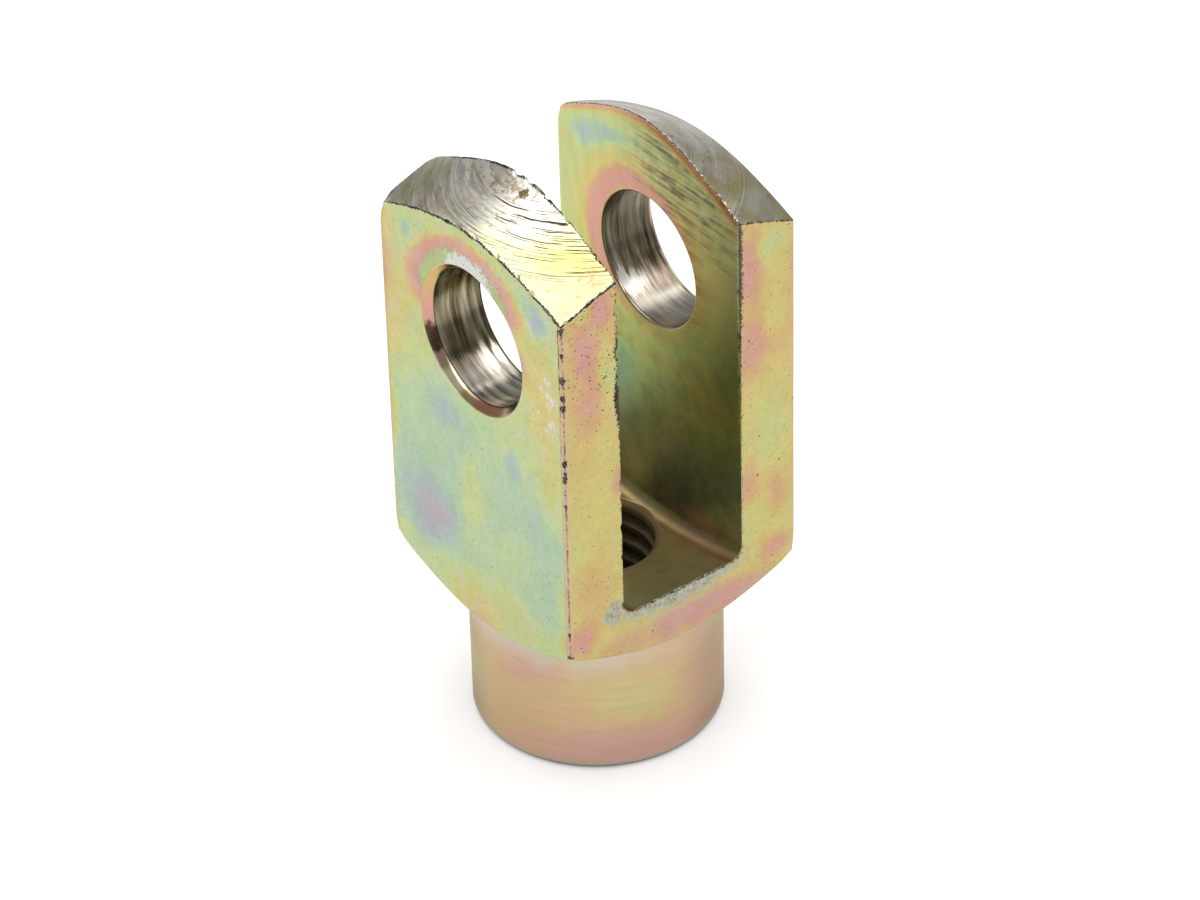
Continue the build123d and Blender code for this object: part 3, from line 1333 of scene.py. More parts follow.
class Finish(Bench):
    """One machined surface's look; each kind builds its own material."""

    name = "finish"
    RIM_DARK = "262420"
    RIM_GREY = "6E6A60"
    FLAKE = "F4F2EC"
    GLINT = (1.8, 1.8, 1.75, 1.0)

    def __init__(self, sizes: ForkSizes, wear: Wear) -> None:
        """Start the material and keep what the look is placed by.

        Args:
            sizes: the fork head's sizes.
            wear: how ragged its edges are.
        """
        super().__init__(self.name)
        self.sizes = sizes
        self.wear = wear
        self.colour: Signal | None = None

    @cached_property
    def cone_gap(self) -> Signal:
        """The distance from the turned end's edge."""
        return self.carried("cone_gap")

    @cached_property
    def slot_gap(self) -> Signal:
        """The distance from the slot's open edges."""
        return self.carried("slot_gap")

    @cached_property
    def open_side(self) -> Signal:
        """1 on the two flats that the slot opens through, 0 elsewhere."""
        return abs(self.y).ease(self.sizes.half - 0.4, self.sizes.half - 0.2)

    def dress(self) -> bpy.types.Material:
        """Build the material."""
        raise NotImplementedError

    def coat(self, share: Any, other: Any, mode: str = "MIX") -> None:
        """Draw the finish's colour by a share to another, or combine it with one in another way."""
        self.colour = self.colour.tint(share, other, mode)

    def shade(self, tone: Any, share: Signal | None = None) -> None:
        """Make the finish's colour lighter or darker by a number, or by a share of it."""
        self.colour = self.colour.shade(tone, share)

    def metal(self, roughness: Any, normal: Signal, metallic: float = 1.0) -> bpy.types.Material:
        """Finish the material as bare or filmed metal and return it."""
        inputs = {"Base Color": self.colour, "Metallic": metallic, "Roughness": roughness, "Normal": normal}
        return self.shown(self.node("ShaderNodeBsdfPrincipled", inputs))

    def film_level(self, base: Any, swing: float, spots: tuple[FilmSpot, ...], size: float = 5.0,
                   mottle: float = 0.12) -> Signal:
        """Return the film's thickness: a base with slow noise, drawn to each spot's tint, and mottled.

        Args:
            base: the thickness between the spots.
            swing: how far slow noise moves it.
            spots: places with a tint of their own.
            size: how large the slow noise's lumps are.
            mottle: how far quick noise moves it.

        Returns:
            The thickness, 0 to 1.
        """
        level = (self.noise(size, 3.0) - 0.5) * swing + base
        for spot in spots:
            share = self.spot(spot.centre, spot.spread, (1.5, 0.7))
            share = self.math("MULTIPLY", share, spot.strength, clamp=True)
            level = self.blend(share, level, spot.film.level)
        return (self.noise(0.8, 5.0, 0.62) - 0.5) * mottle + level

    def film_colour(self, level: Signal) -> Signal:
        """Return the tint for a film thickness."""
        return level.ramp(tuple((film.level, film.code) for film in Film))

    def pin_way(self, lean: Place) -> tuple[Signal, Signal]:
        """Return the way out from the pin's axis, pushed about by noise, and how far it leans to a side."""
        away = self.vector("SUBTRACT", self.warped(1.2, 0.45), (0, 0, self.sizes.pin_height))
        flat = self.vector("MULTIPLY", away, (0, 1, 1))
        return self.vector("LENGTH", flat), self.toward(lean, self.vector("NORMALIZE", flat))

    def ragged(self, gap: Signal, width: Any, wander: float) -> Signal:
        """Return 1 within a width of an edge, with a broken border, and 0 beyond it.

        Args:
            gap: distance from the edge.
            width: how far the line reaches.
            wander: how far noise pushes its border.

        Returns:
            The eased share.
        """
        loose = (self.noise(0.13, 4.0, 0.75) - 0.5) * wander + gap - width
        return loose.ease(0.03, -0.03)

    def worn_edge(self, gap: Signal, width: Any, flakes: float, wander: float = 0.5) -> None:
        """Lay a broken dark line along an edge, with a few bright flakes beside it.

        Args:
            gap: distance from the edge.
            width: how far the dark line reaches.
            flakes: how strong the flakes are.
            wander: how far noise pushes the line's border.
        """
        beside = self.ragged(gap, width * 1.6 + 0.06, 1.6 * wander)
        chance = self.noise(0.15, 3.0, 0.7).ease(0.53, 0.60, 0.0, flakes)
        self.coat(beside * chance, self.FLAKE)
        dark = self.tint(self.noise(0.11, 3.0).ease(0.4, 0.7), self.RIM_DARK, self.RIM_GREY)
        dark = dark.tint(self.x.ease(3.0, 4.0, 0.0, 0.6), self.RIM_GREY)
        self.coat(self.ragged(gap, width, wander), dark)


class PlatedFlat(Finish):
    """The bar's four flats: yellow-green iridescent film, rubbed and pitted."""

    name = "plated_flat"
    SPOTS = (
        *on_face(
            0, -8,
            (Film.TEAL, 5.6, 16, 4.6, 7, 1.2), (Film.TEAL, 3, 22.2, 4.6, 2.6, 0.9),
            (Film.TEAL, -2.4, 19.8, 3.2, 3.4, 0.9), (Film.TEAL, -6.3, 14.8, 2.4, 5, 0.9),
            (Film.BLUE, 5.0, 14.2, 4.2, 4.2, 0.9), (Film.LILAC, 4.0, 14.3, 2.5, 2.8, 1.0),
            (Film.LILAC, 2.8, 21.9, 2.0, 1.4, 0.5), (Film.LILAC, -3.4, 21.7, 1.1, 1.7, 0.6),
            (Film.YELLOW, 7.5, 32, 1.2, 2.6, 0.9), (Film.BLUE, 5.7, 32.5, 1.0, 1.4, 0.85),
            (Film.YELLOW, -6.2, 27.5, 2.8, 7.5, 1.2), (Film.YELLOW, -6.7, 22, 1.6, 4, 0.9),
            (Film.TEAL, -5.4, 32.3, 2.4, 2.0, 0.8), (Film.LILAC, -5.9, 32.4, 1.4, 1.5, 0.9),
            (Film.LIME, 5.2, 27.3, 1.7, 5, 1.0), (Film.YELLOW, 7.3, 27.5, 2.4, 7.5, 1.4),
            (Film.AMBER, 7.9, 28.4, 1.2, 5.5, 0.9), (Film.YELLOW, 8.0, 19.5, 0.9, 5.5, 1.1),
            (Film.AMBER, -4.7, 28.4, 1.1, 2.4, 0.8), (Film.PINK, -4.4, 29.0, 0.7, 1.5, 0.7),
            (Film.PINK, 8.1, 28, 0.7, 3, 0.8), (Film.LIME, -1, 10.8, 8, 2.4, 1.2),
            (Film.YELLOW, 6.9, 11.6, 1.6, 0.7, 0.5), (Film.YELLOW, 0.6, 9.9, 4.0, 1.6, 1.1),
            (Film.AMBER, 0.2, 9.2, 3, 0.9, 0.9), (Film.LIME, 0.6, 17.5, 1.3, 4, 0.7)),
        *on_face(
            1, -8,
            (Film.PINK, -5.2, 33.0, 1.1, 1.8, 1.1), (Film.PINK, -6.4, 30.6, 1.3, 2.4, 1.2),
            (Film.SALMON, -6.3, 27.4, 1.5, 2.8, 1.2), (Film.LIME, -4.8, 28.6, 1.0, 2.8, 1.0),
            (Film.LIME, -6.6, 33.0, 0.8, 0.7, 0.9), (Film.YELLOW, -5.6, 20.5, 2.6, 5, 1.2),
            (Film.AMBER, -6.4, 15, 2.2, 4, 1.0), (Film.PINK, -4.4, 21.5, 0.7, 1.6, 0.7),
            (Film.LIME, 6.5, 32.3, 1.7, 2.2, 1.1), (Film.PINK, 4.9, 31, 1.2, 3.4, 1.0),
            (Film.YELLOW, 6.6, 27.8, 1.5, 3, 1.0), (Film.PINK, 5.0, 26, 1.4, 3, 0.9),
            (Film.LIME, 6.2, 20.5, 1.9, 3.6, 0.9), (Film.SALMON, 4.8, 17, 1.3, 2.6, 0.9),
            (Film.SALMON, 6.8, 15.5, 1.5, 2.6, 0.8), (Film.PINK, 6.6, 11.9, 1.9, 1.5, 1.0),
            (Film.PINK, -7.0, 11.8, 1.6, 1.8, 0.9), (Film.PINK, 0.8, 10.1, 8.5, 1.8, 1.2),
            (Film.LIME, -2.6, 10.2, 1.4, 0.7, 0.5)),
        *on_face(
            0, 8,
            (Film.TEAL, 3, 17, 5, 5, 0.9), (Film.LILAC, -4, 21, 2.4, 3, 0.8),
            (Film.YELLOW, -5.5, 30, 2.4, 4, 0.9), (Film.BLUE, 5.6, 32, 1.6, 1.3, 0.9)),
        *on_face(
            1, 8,
            (Film.PINK, -6, 28, 2, 5, 0.8), (Film.LIME, 6, 20, 2, 6, 0.9),
            (Film.PINK, 0, 10.2, 7, 1.4, 0.9)),
    )

    def dress(self) -> bpy.types.Material:
        """Build the film, its ring round the pin hole, a little painted shade on the two open flats, the
        rubbed places, the pits and the edges.

        Returns:
            The material.
        """
        level = self.open_side * 0.26 + (self.z.ease(20, 27, -0.06, 0.03) + Film.GREEN.level)
        level = self.hole_ring(self.film_level(level, 0.32, self.SPOTS, size=4.0, mottle=0.10))
        self.colour = self.film_colour(level + self.carried("edge_gap").ease(0.0, 0.5, 0.02, 0.0))
        tone = self.noise(0.5, 5.0, 0.65).even(0.3, 0.7, 0.93, 1.05)
        # Painted shade: the two open flats are drawn a little darker, 0.95 times, than the other two.
        self.shade(self.blend(self.open_side, 1.0, 0.95) * tone)
        bloom = self.noise(1.3, 5.0, 0.6).ease(0.4, 0.7, 0.0, 0.30)
        self.coat(bloom * self.blend(self.open_side, 1.0, 0.3), "CFD2C8")
        for step in (self.rubbed, self.pits, self.floor_burr, self.bar_corner, self.nicks, self.rims):
            step()
        grain = self.noise(0.14, 3.0, 0.55).bump(0.0025)
        normal = self.noise(1.0, 3.0).bump(0.008, grain)
        return self.metal(self.noise(1.7, 4.0).ease(0.3, 0.7, 0.33, 0.45), normal)

    def hole_ring(self, level: Signal) -> Signal:
        """Draw the film up to its deepest tints at the pin hole's rim, most over the top.

        Args:
            level: the film's thickness away from the hole.

        Returns:
            The new thickness.
        """
        radius = self.sizes.pin_radius
        way, lean = self.pin_way((0, 0.26, 0.966))
        height = lean.ease(-0.1, 0.85, 0.0, 0.76)
        scratch = self.noise(0.35, 5.0, 0.7) - 0.5
        upper = self.spot((-self.sizes.half, -2.6, 33.4), (3.0, 3.2, 2.4))
        reach = way.even(radius + self.sizes.pin_countersink, radius + 2.8, 1.0, 0.0)
        reach = scratch * upper * 0.7 + reach
        share = reach.ease(0.0, 0.35) * height.ease(0.05, 0.4)
        return self.blend(share, level, level.most(reach * height + 0.44))

    def rubbed(self) -> None:
        """Add the silver place over the hole's rim and white rubbed specks down the bar's near edge."""
        patch = self.spot((-8, 0.1, 32.2), (3, 3.3, 1.9), (0.6, 0.3))
        rub = self.noise(0.22, 5.0, 0.75) * 1.7 + patch
        self.coat(rub.ease(1.18, 1.34), "E2E2DC")
        lane = self.spot((-8, -6.5, 27), (1.5, 1.9, 6.5), (1.5, 0.5))
        crowd = lane * self.noise(1.3).ease(0.40, 0.60)
        speck = crowd * 0.20 + self.noise(0.34, 5.0, 0.85)
        self.coat(speck.ease(0.655, 0.70) * 0.9, "E6E5E0")

    def pits(self) -> None:
        """Add small dark pits, closest together high on the near strip."""
        lane = self.spot((-5.8, -8, 30.5), (4.5, 4, 7), (1.5, 0.5))
        side_lane = self.spot((-8, -5.6, 26), (1.5, 2.6, 9), (2.0, 1.2))
        crowd = side_lane * 0.14 + (lane * 0.07 + self.open_side * 0.15) - 0.12
        for size, least, most in ((0.15, 0.755, 0.78), (0.26, 0.79, 0.81)):
            dots = crowd + self.noise(size, 1.5)
            self.coat(dots.ease(least, most, 0.0, 0.95), "2E2A26")
        self.coat(self.noise(0.45, 3.0).ease(0.72, 0.76, 0.0, 0.5), "7C7462")

    def floor_burr(self) -> None:
        """Add the pale rough band that the cutter pushed over under the slot's open edges."""
        s = self.sizes
        lip = s.cutter_height - math.sqrt(s.cutter_radius**2 - s.half**2)
        through = 40
        for middle, below, reach, depth, warp, most, code in (
                (1.0, 2.2, 9.0, 1.6, (0.8, 0.5), 0.4, "C6ACA0"),
                (-0.5, 1.3, 5.5, 0.45, (0.8, 0.4), 0.55, "BFC5A0")):
            low = self.spot((middle, 0, lip - below), (reach, through, depth), warp)
            self.coat(low * most * self.open_side, code)
        band = self.spot((-0.2, 0, lip - 0.2), (8.0, through, 1.5), (0.6, 0.4))
        heel = self.spot((-4.9, 0, lip + 0.5), (1.2, through, 1.6), (0.7, 0.5))
        grit = self.noise(0.27, 4.0, 0.68)
        pale = grit.ramp(((0.34, "7C796C"), (0.43, "A4A698"), (0.56, "B6B9AD"), (0.68, "C8C9C0")))
        mask = (grit * 0.9 + band.most(heel)).ease(0.64, 1.15, 0.0, 0.88)
        self.coat(mask * self.open_side, pale)

    def bar_corner(self) -> None:
        """Add the pale band on the bar's corners and the dark lines beside it and along it."""
        upper = self.z.ease(23, 28, 0.25, 1.0)
        here = self.toward((-1, -1, 0)).ease(14.5, 15.0)
        fold = upper * -0.08 + self.toward((-1, 1, 0), self.vector("ABSOLUTE", self.where))
        fold = (self.noise(0.8, 4.0, 0.6) - 0.5) * 0.22 + fold
        band = fold.window(-0.32, -0.24, 0.16, 0.22)
        line = fold.window(-0.38, -0.32, -0.29, -0.24)
        seam = fold.window(-0.10, -0.03, 0.03, 0.10)
        worn = self.noise(0.5, 4.0, 0.7).ease(0.35, 0.6, 0.2, 0.75)
        bright = self.noise(0.22, 4.0, 0.75).ease(0.58, 0.66, 0.0, 0.7)
        broken = self.noise(0.5, 4.0, 0.75).ease(0.38, 0.6, 0.1, 0.95)
        thin = self.noise(0.3, 4.0, 0.8).ease(0.42, 0.6, 0.0, 0.8)
        self.coat(band * (worn * self.blend(here, 0.4, 1.0)), "DDB4AA")
        self.coat(band * (bright * here), "D8D8D4")
        self.coat(line * (broken * (upper * here)), "3A3430")
        self.coat(seam * (thin * here), "54443E")

    def nicks(self) -> None:
        """Darken the nicks in the near corner."""
        fleck = self.noise(0.1, 3.0, 0.7).ease(0.44, 0.54)
        for nick in self.wear.nicks:
            centre = (-self.sizes.half, -self.sizes.half, nick.height)
            spread = (1.5 * nick.reach, 1.5 * nick.reach, 1.2 * nick.length)
            mask = self.noise(0.16, 3.0, 0.7) * 1.4 + self.spot(centre, spread, (0.25, 0.12))
            self.coat(mask.ease(0.92, 1.02), self.tint(fleck, self.RIM_DARK, self.RIM_GREY))

    def rims(self) -> None:
        """Add the dark broken lines along the turned end and along the slot."""
        patchy = self.noise(1.1, 3.0).ease(0.35, 0.65, 0.01, 0.12)
        patchy = self.blend(self.x.ease(3.0, 4.0), patchy, 0.03)
        self.worn_edge(self.cone_gap, patchy, flakes=0.35)
        width = self.z.ease(13.5, 12.5) * 0.09 + self.z.ease(22, 30, -0.02, 0.06)
        for side, centre, reach, most in ((-1, 26.8, 2.4, 0.34), (-1, 30.0, 0.9, 0.24), (1, 32, 6, 0.12)):
            place = (side * self.sizes.cheek, -self.sizes.half, centre)
            width = self.spot(place, (1.5, 1.5, reach)) * most + width
        width = self.y.ease(0.0, 1.0) * -0.3 + width
        self.worn_edge(self.slot_gap, width, flakes=0.25, wander=1.1)


@dataclass(frozen=True)
class CutRings:
    """Thin lines that the turning tool left: their spacing, width, and tone in the light and behind."""

    spacing: float
    width: float
    lit_tone: float
    back_tone: float


@dataclass(frozen=True)
class Speckle:
    """Specks in one colour: their size, and the noise at which they start and are full."""

    size: float
    low: float
    high: float
    code: str


class TurnedCone(Finish):
    """The turned ends: bright metal with painted light and shade, rings of tool marks and a broken dark
    rim.
    """

    name = "turned_cone"
    # Painted light and shade: the ramp runs from the near corner, bright across the middle where the end
    # mirrors the light, to darker at the back.
    TONES = ((0.0, "C2BE90"), (0.2, "D0CDA2"), (0.34, "E2E0D2"), (0.5, "E8E4D6"),
             (0.62, "EAE4D2"), (0.75, "E8E2D4"), (0.88, "DCD4BE"), (1.0, "B8B498"))
    CUTS = (CutRings(0.47, 0.036, 0.05, 0.80), CutRings(0.31, 0.030, 0.10, 0.86),
            CutRings(0.73, 0.042, 0.04, 0.70), CutRings(0.23, 0.028, 0.08, 0.90),
            CutRings(0.26, 0.030, 1.0, 1.25), CutRings(0.55, 0.045, 1.0, 1.32))
    CLOUDS = (Speckle(0.9, 0.50, 0.62, "7C8048"), Speckle(0.5, 0.52, 0.64, "8A6C4A"),
              Speckle(0.7, 0.50, 0.60, "C0BAC4"))
    FRECKLES = (Speckle(0.5, 0.56, 0.72, "9A8058"), Speckle(0.13, 0.70, 0.76, "5A4226"),
                Speckle(0.16, 0.69, 0.74, "F4F2EC"))
    # Scuffs: dark scratches at 0.12 times, and bright ones at 2.4 times, which are painted glints.
    SCUFFS_AND_GLINTS = ((0.14, 0.12), (0.18, 2.4))

    @cached_property
    def broad(self) -> Signal:
        """The broad rings."""
        return self.ringed(0.75, 0.5, 2.0, 0.6)

    @cached_property
    def swing(self) -> Signal:
        """The place's y, pushed about by the broad rings."""
        return (self.broad - 0.5) * 3.0 + self.y

    @cached_property
    def back(self) -> Signal:
        """1 at the back, 0 in the light."""
        return self.swing.ease(-1.5, 3.0)

    @cached_property
    def far(self) -> Signal:
        """1 on the far ear."""
        return self.x.ease(3.5, 5.0)

    @cached_property
    def way(self) -> Signal:
        """The distance from the rod's axis, a little uneven."""
        return self.from_axis(self.warped(2.5, 0.15))

    def dress(self) -> bpy.types.Material:
        """Build the painted light and shade from the near corner to the back, the rings, the stains, the
        painted shade on the far end and the dark rim.

        Returns:
            The material.
        """
        self.colour = self.swing.even(-self.sizes.half, self.sizes.half).ramp(self.TONES)
        fine = self.ringed(0.12, 0.15, 1.5)
        strength = self.noise(2.6, 3.0, 0.6).ease(0.36, 0.62, 0.3, 1.0)
        swell = self.broad.even(0.32, 0.68, self.blend(self.back, 0.94, 0.90), 1.20)
        self.shade(swell * self.blend(strength, 1.0, fine.even(0.3, 0.7, 0.88, 1.14)))
        for step in (self.stains, self.shade_far_end, self.cuts, self.specks, self.rim):
            step()
        normal = fine.bump(0.006, self.broad.bump(0.014, self.noise(0.1, 3.0).bump(0.003)))
        return self.metal(self.broad.ease(0.3, 0.7, 0.30, 0.40), normal)

    def stains(self) -> None:
        """Add the stains, the clouds at the back and the yellow belt."""
        self.coat(self.spot((-8, 7.6, 33), (3.4, 4.6, 3), (1.5, 0.8)) * 0.4, "84846A")
        for cloud in self.CLOUDS:
            share = self.ringed(cloud.size, 1.0 / cloud.size, 4.0, 0.7)
            self.coat(share.ease(cloud.low, cloud.high, 0.0, 0.55) * self.back, cloud.code)
        belt = self.way.window(6.0, 7.4, 8.2, 9.2) * self.y.ease(0.6, -1.6)
        self.coat(belt * self.broad.ease(0.38, 0.58, 0.25, 1.0), "FFFAD4", "MULTIPLY")
        for centre, spread, share, code in (((-6.2, 6.0, 34.2), (2.4, 2.8, 3), 0.55, "989C70"),
                                            ((-7.6, 3.4, 34.2), (1.2, 2.2, 3), 0.45, "96806A")):
            self.coat(self.spot(centre, spread, (1.2, 0.8)) * share, code)

    def shade_far_end(self) -> None:
        """Paint shade on the far ear's end, darker toward the back, and draw it to a duller grey and tan
        mottle than the near end's painted light.
        """
        # Painted shade: the far end is darker toward the back and duller than the near end.
        self.shade(self.y.even(-6.0, 6.0, 1.0, 0.92), self.far)
        mixed = self.tint(self.noise(1.6, 4.0).ease(0.4, 0.6), "C4C0BE", "AA9E80")
        self.coat(self.far * 0.65, mixed)

    def cuts(self) -> None:
        """Draw the tool's thin rings, dark in the light and faint at the back."""
        lined = self.way.ease(4.6, 5.4, 0.3, 1.0) * self.way.ease(9.4, 8.4, 0.1, 1.0)
        uneven = self.ringed(0.8, 0.25, 2.0)
        for cut in self.CUTS:
            radius = uneven * (2.2 * cut.spacing) + self.way
            hair = self.math("PINGPONG", radius, cut.spacing / 2).ease(cut.width, 0.4 * cut.width)
            patch = self.ringed(0.7 * cut.spacing, 2.2, 3.0, 0.6).ease(0.46, 0.58)
            tone = self.blend(self.back.most(self.far), cut.lit_tone, cut.back_tone)
            self.shade(tone, hair * patch * self.blend(self.back, lined, 0.8))

    def specks(self) -> None:
        """Add scuffs with painted glints and freckles near the slot, pink specks at the near corner and a
        brown blot.
        """
        scuffed = self.spot((-6.3, -0.8, 35.0), (2.0, 4.2, 4), (1.2, 0.8))
        for size, tone in self.SCUFFS_AND_GLINTS:
            fleck = scuffed * 0.15 + self.ringed(size, 4.0, 3.0, 0.7)
            self.shade(tone, fleck.ease(0.70, 0.76))
        dusty = self.spot((-5.0, 0.1, 36.4), (1.5, 3.0, 3), (0.8, 0.5))
        for speck in self.FRECKLES:
            freckle = dusty * 0.13 + self.noise(speck.size, 4.0, 0.7)
            self.coat(freckle.ease(speck.low, speck.high, 0.0, 0.75), speck.code)
        pink = self.spot((-5.1, -6.9, 34.3), (1.0, 1.4, 3), (0.8, 0.4))
        pink = pink * 0.14 + self.noise(0.16, 4.0, 0.7)
        self.coat(pink.ease(0.62, 0.68, 0.0, 0.7), "C88E6E")
        blot = self.spot((-4.85, -1.0, 36.7), (0.5, 0.5, 1.2), (0.4, 0.3))
        blot = self.noise(0.16, 4.0, 0.75) * 1.4 + blot
        self.coat(blot.ease(1.0, 1.25, 0.0, 0.9), "54451F")

    def rim(self) -> None:
        """Add the broken dark rim and the glints along the far ear's inner edge."""
        rim = self.noise(1.3, 3.0).ease(0.35, 0.65, 0.05, 0.15)
        outer = self.from_axis().ease(7.9, 8.1, 0.3, 1.0)
        self.worn_edge(self.cone_gap, self.blend(self.far, rim, rim * outer * 0.35), flakes=0.7)
        inner = abs(self.x).ease(self.sizes.cheek + 0.45, self.sizes.cheek + 0.2)
        glint = self.noise(0.32, 3.0, 0.7).ease(0.55, 0.59) * self.cone_gap.ease(0.2, 0.12)
        self.coat(glint * (inner * self.far) * self.y.ease(1.2, 0.0), self.GLINT)


class MilledSlot(Finish):
    """The slot's sides and floor: olive film with painted shade that darkens it the deeper it lies,
    streaked near the top.
    """

    name = "milled_slot"
    SPOTS = (
        *on_face(
            0, 4.2,
            (Film.BLUE, 5.6, 33.6, 2.6, 1.4, 0.9), (Film.LILAC, 3.2, 34.35, 3.0, 1.2, 0.7),
            (Film.TEAL, 0.8, 34.9, 3.4, 1.2, 0.8), (Film.LIME, 7.2, 30, 2.2, 4.5, 1.0),
            (Film.LIME, 0.4, 22.6, 3.8, 3.0, 1.3), (Film.YELLOW, -0.4, 23.6, 2.6, 1.4, 1.0),
            (Film.TEAL, 2.4, 19.4, 2.4, 3.8, 1.1), (Film.YELLOW, -6.2, 28, 2.6, 7, 1.0),
            (Film.YELLOW, -4.5, 21.5, 4, 4, 1.0), (Film.LIME, -2.5, 16.5, 7, 4, 1.1),
            (Film.SALMON, -5, 12.4, 4, 1.6, 1.0)),
        FilmSpot(Film.SALMON, (0, 0, 11), (4.4, 14, 1.8), 1.3),
        FilmSpot(Film.PINK, (3.8, -4.6, 11.9), (2.0, 5.5, 1.8), 1.0),
    )

    @cached_property
    def near(self) -> Signal:
        """1 toward the near side."""
        return self.y.ease(3.5, -2.0)

    def dress(self) -> bpy.types.Material:
        """Build the film, the streaks, the stains, the painted light and shade in the depths and the edges.

        Returns:
            The material.
        """
        streaks = self.streaked((4.5, 4.5, 0.24), 4.0, 0.62, (14.0, 0.0, 0.0))
        brushed = self.toward((0, -0.25, 1)).ease(30.5, 34.6) * self.near
        brushed = brushed * self.cone_gap.ease(0.25, 0.9) * self.y.ease(-7.8, -5.5, 0.5, 1.0)
        strength = brushed * 1.1 + 0.05
        self.colour = self.film_colour(self.level() + (streaks - 0.5) * strength)
        cloudy = self.noise(0.8, 4.0, 0.6).ease(0.35, 0.6, 0.35, 1.0)
        self.coat(streaks.ease(0.45, 0.6, 0.0, 0.9) * brushed * cloudy, "565044")
        self.coat(brushed * cloudy * 0.35, "84807A")
        self.stains()
        self.shade(self.streaked((2.5, 0.6, 2.0), 4.0, 0.6, (-35.0, 0.0, 0.0)).even(0.3, 0.7, 0.94, 1.06))
        self.depths()
        width = self.y.ease(0.0, 1.0) * -0.3 + self.z.ease(23, 29, -0.02, 0.12)
        self.worn_edge(self.slot_gap, width, flakes=0.2)
        self.worn_edge(self.cone_gap, 0.05, flakes=0.9, wander=0.4)
        return self.metal(0.40, (streaks * strength).bump(0.012, self.noise(0.15, 3.0).bump(0.004)))

    def level(self) -> Signal:
        """Return the film's thickness, with the ring round the pin hole and the rim under the cone.

        Returns:
            The thickness.
        """
        level = self.film_level(Film.LIME.level, 0.25, self.SPOTS, mottle=0.14)
        way, lean = self.pin_way((0, 0.85, 0.53))
        ring = abs(way - lean.ease(0.0, 1.0, 4.15, 4.8)).ease(1.6, 0.0)
        ring = self.math("MULTIPLY", ring, lean.ease(-0.8, 0.6, 0.35, 1.05), clamp=True)
        halo = abs(way - 6.3).ease(0.9, 0.0, 0.0, 0.85)
        rim = self.cone_gap.ease(0.6, 0.15, 0.0, 0.85)
        rows = ((ring, Film.PINK.level), (halo, Film.YELLOW.level), (rim, Film.SALMON.level + 0.03))
        for share, film in rows:
            level = self.blend(share, level, film)
        return level

    def stains(self) -> None:
        """Add the rusty place, a browner near edge, a greyer lower wall, a greener middle band, the olive
        clouds and the brown band under the cone.
        """
        soft = self.streaked((3.0, 2.6, 0.4), 3.0, 0.55, (14.0, 0.0, 0.0)).ease(0.36, 0.66, 0.35, 1.0)
        rusty = self.spot((4.2, -3.6, 28.4), (3, 2.6, 6.5), (1.5, 0.8)) * soft
        cloud = self.noise(1.1, 5.0, 0.62).ease(0.42, 0.62, 0.0, 0.3)
        self.coat(rusty * 0.75, "A0602E")
        self.coat(self.y.ease(-4.4, -7.6, 0.0, 0.25), "74704A")
        self.coat(self.z.ease(21.0, 16.0, 0.0, 0.5), "909E94")
        self.coat(self.z.window(15, 19, 25, 29), "F4FFE0", "MULTIPLY")
        self.coat(cloud * self.z.ease(27, 22), "7A8450")
        self.coat(self.cone_gap.ease(0.75, 0.2) * self.near * 0.85, "A05A30")

    def depths(self) -> None:
        """Paint shade that darkens the slot with its depth, paint the floor lighter and the rounded corners
        darker, and brown its floor and its rounded corners.
        """
        cheek = self.sizes.cheek
        aside = abs(self.x)
        depth = self.toward((0, -0.035, -0.04))
        # Painted shade: darker the deeper into the slot, lifted again low toward the open near side.
        painted_side_shade = depth.ease(-1.22, -0.68, 1.04, 0.55) + depth.ease(-0.72, -0.4, 0.0, 0.75)
        floor = aside.ease(cheek - 0.1, cheek - 0.75)
        fillet = aside.window(cheek - 1.1, cheek - 0.7, cheek - 0.2, cheek - 0.02)
        # Painted light: the floor drawn lighter, most toward the near open end. Painted shade: the rounded
        # corners drawn darker where they mirror the light.
        tone = self.blend(floor, painted_side_shade, self.y.ease(-8.0, -2.0, 1.75, 1.18))
        self.shade(tone * self.blend(fillet, 1.0, 0.72))
        self.coat(fillet * 0.4, "A87C4C")
        self.coat(floor * 0.6, "A07C50")


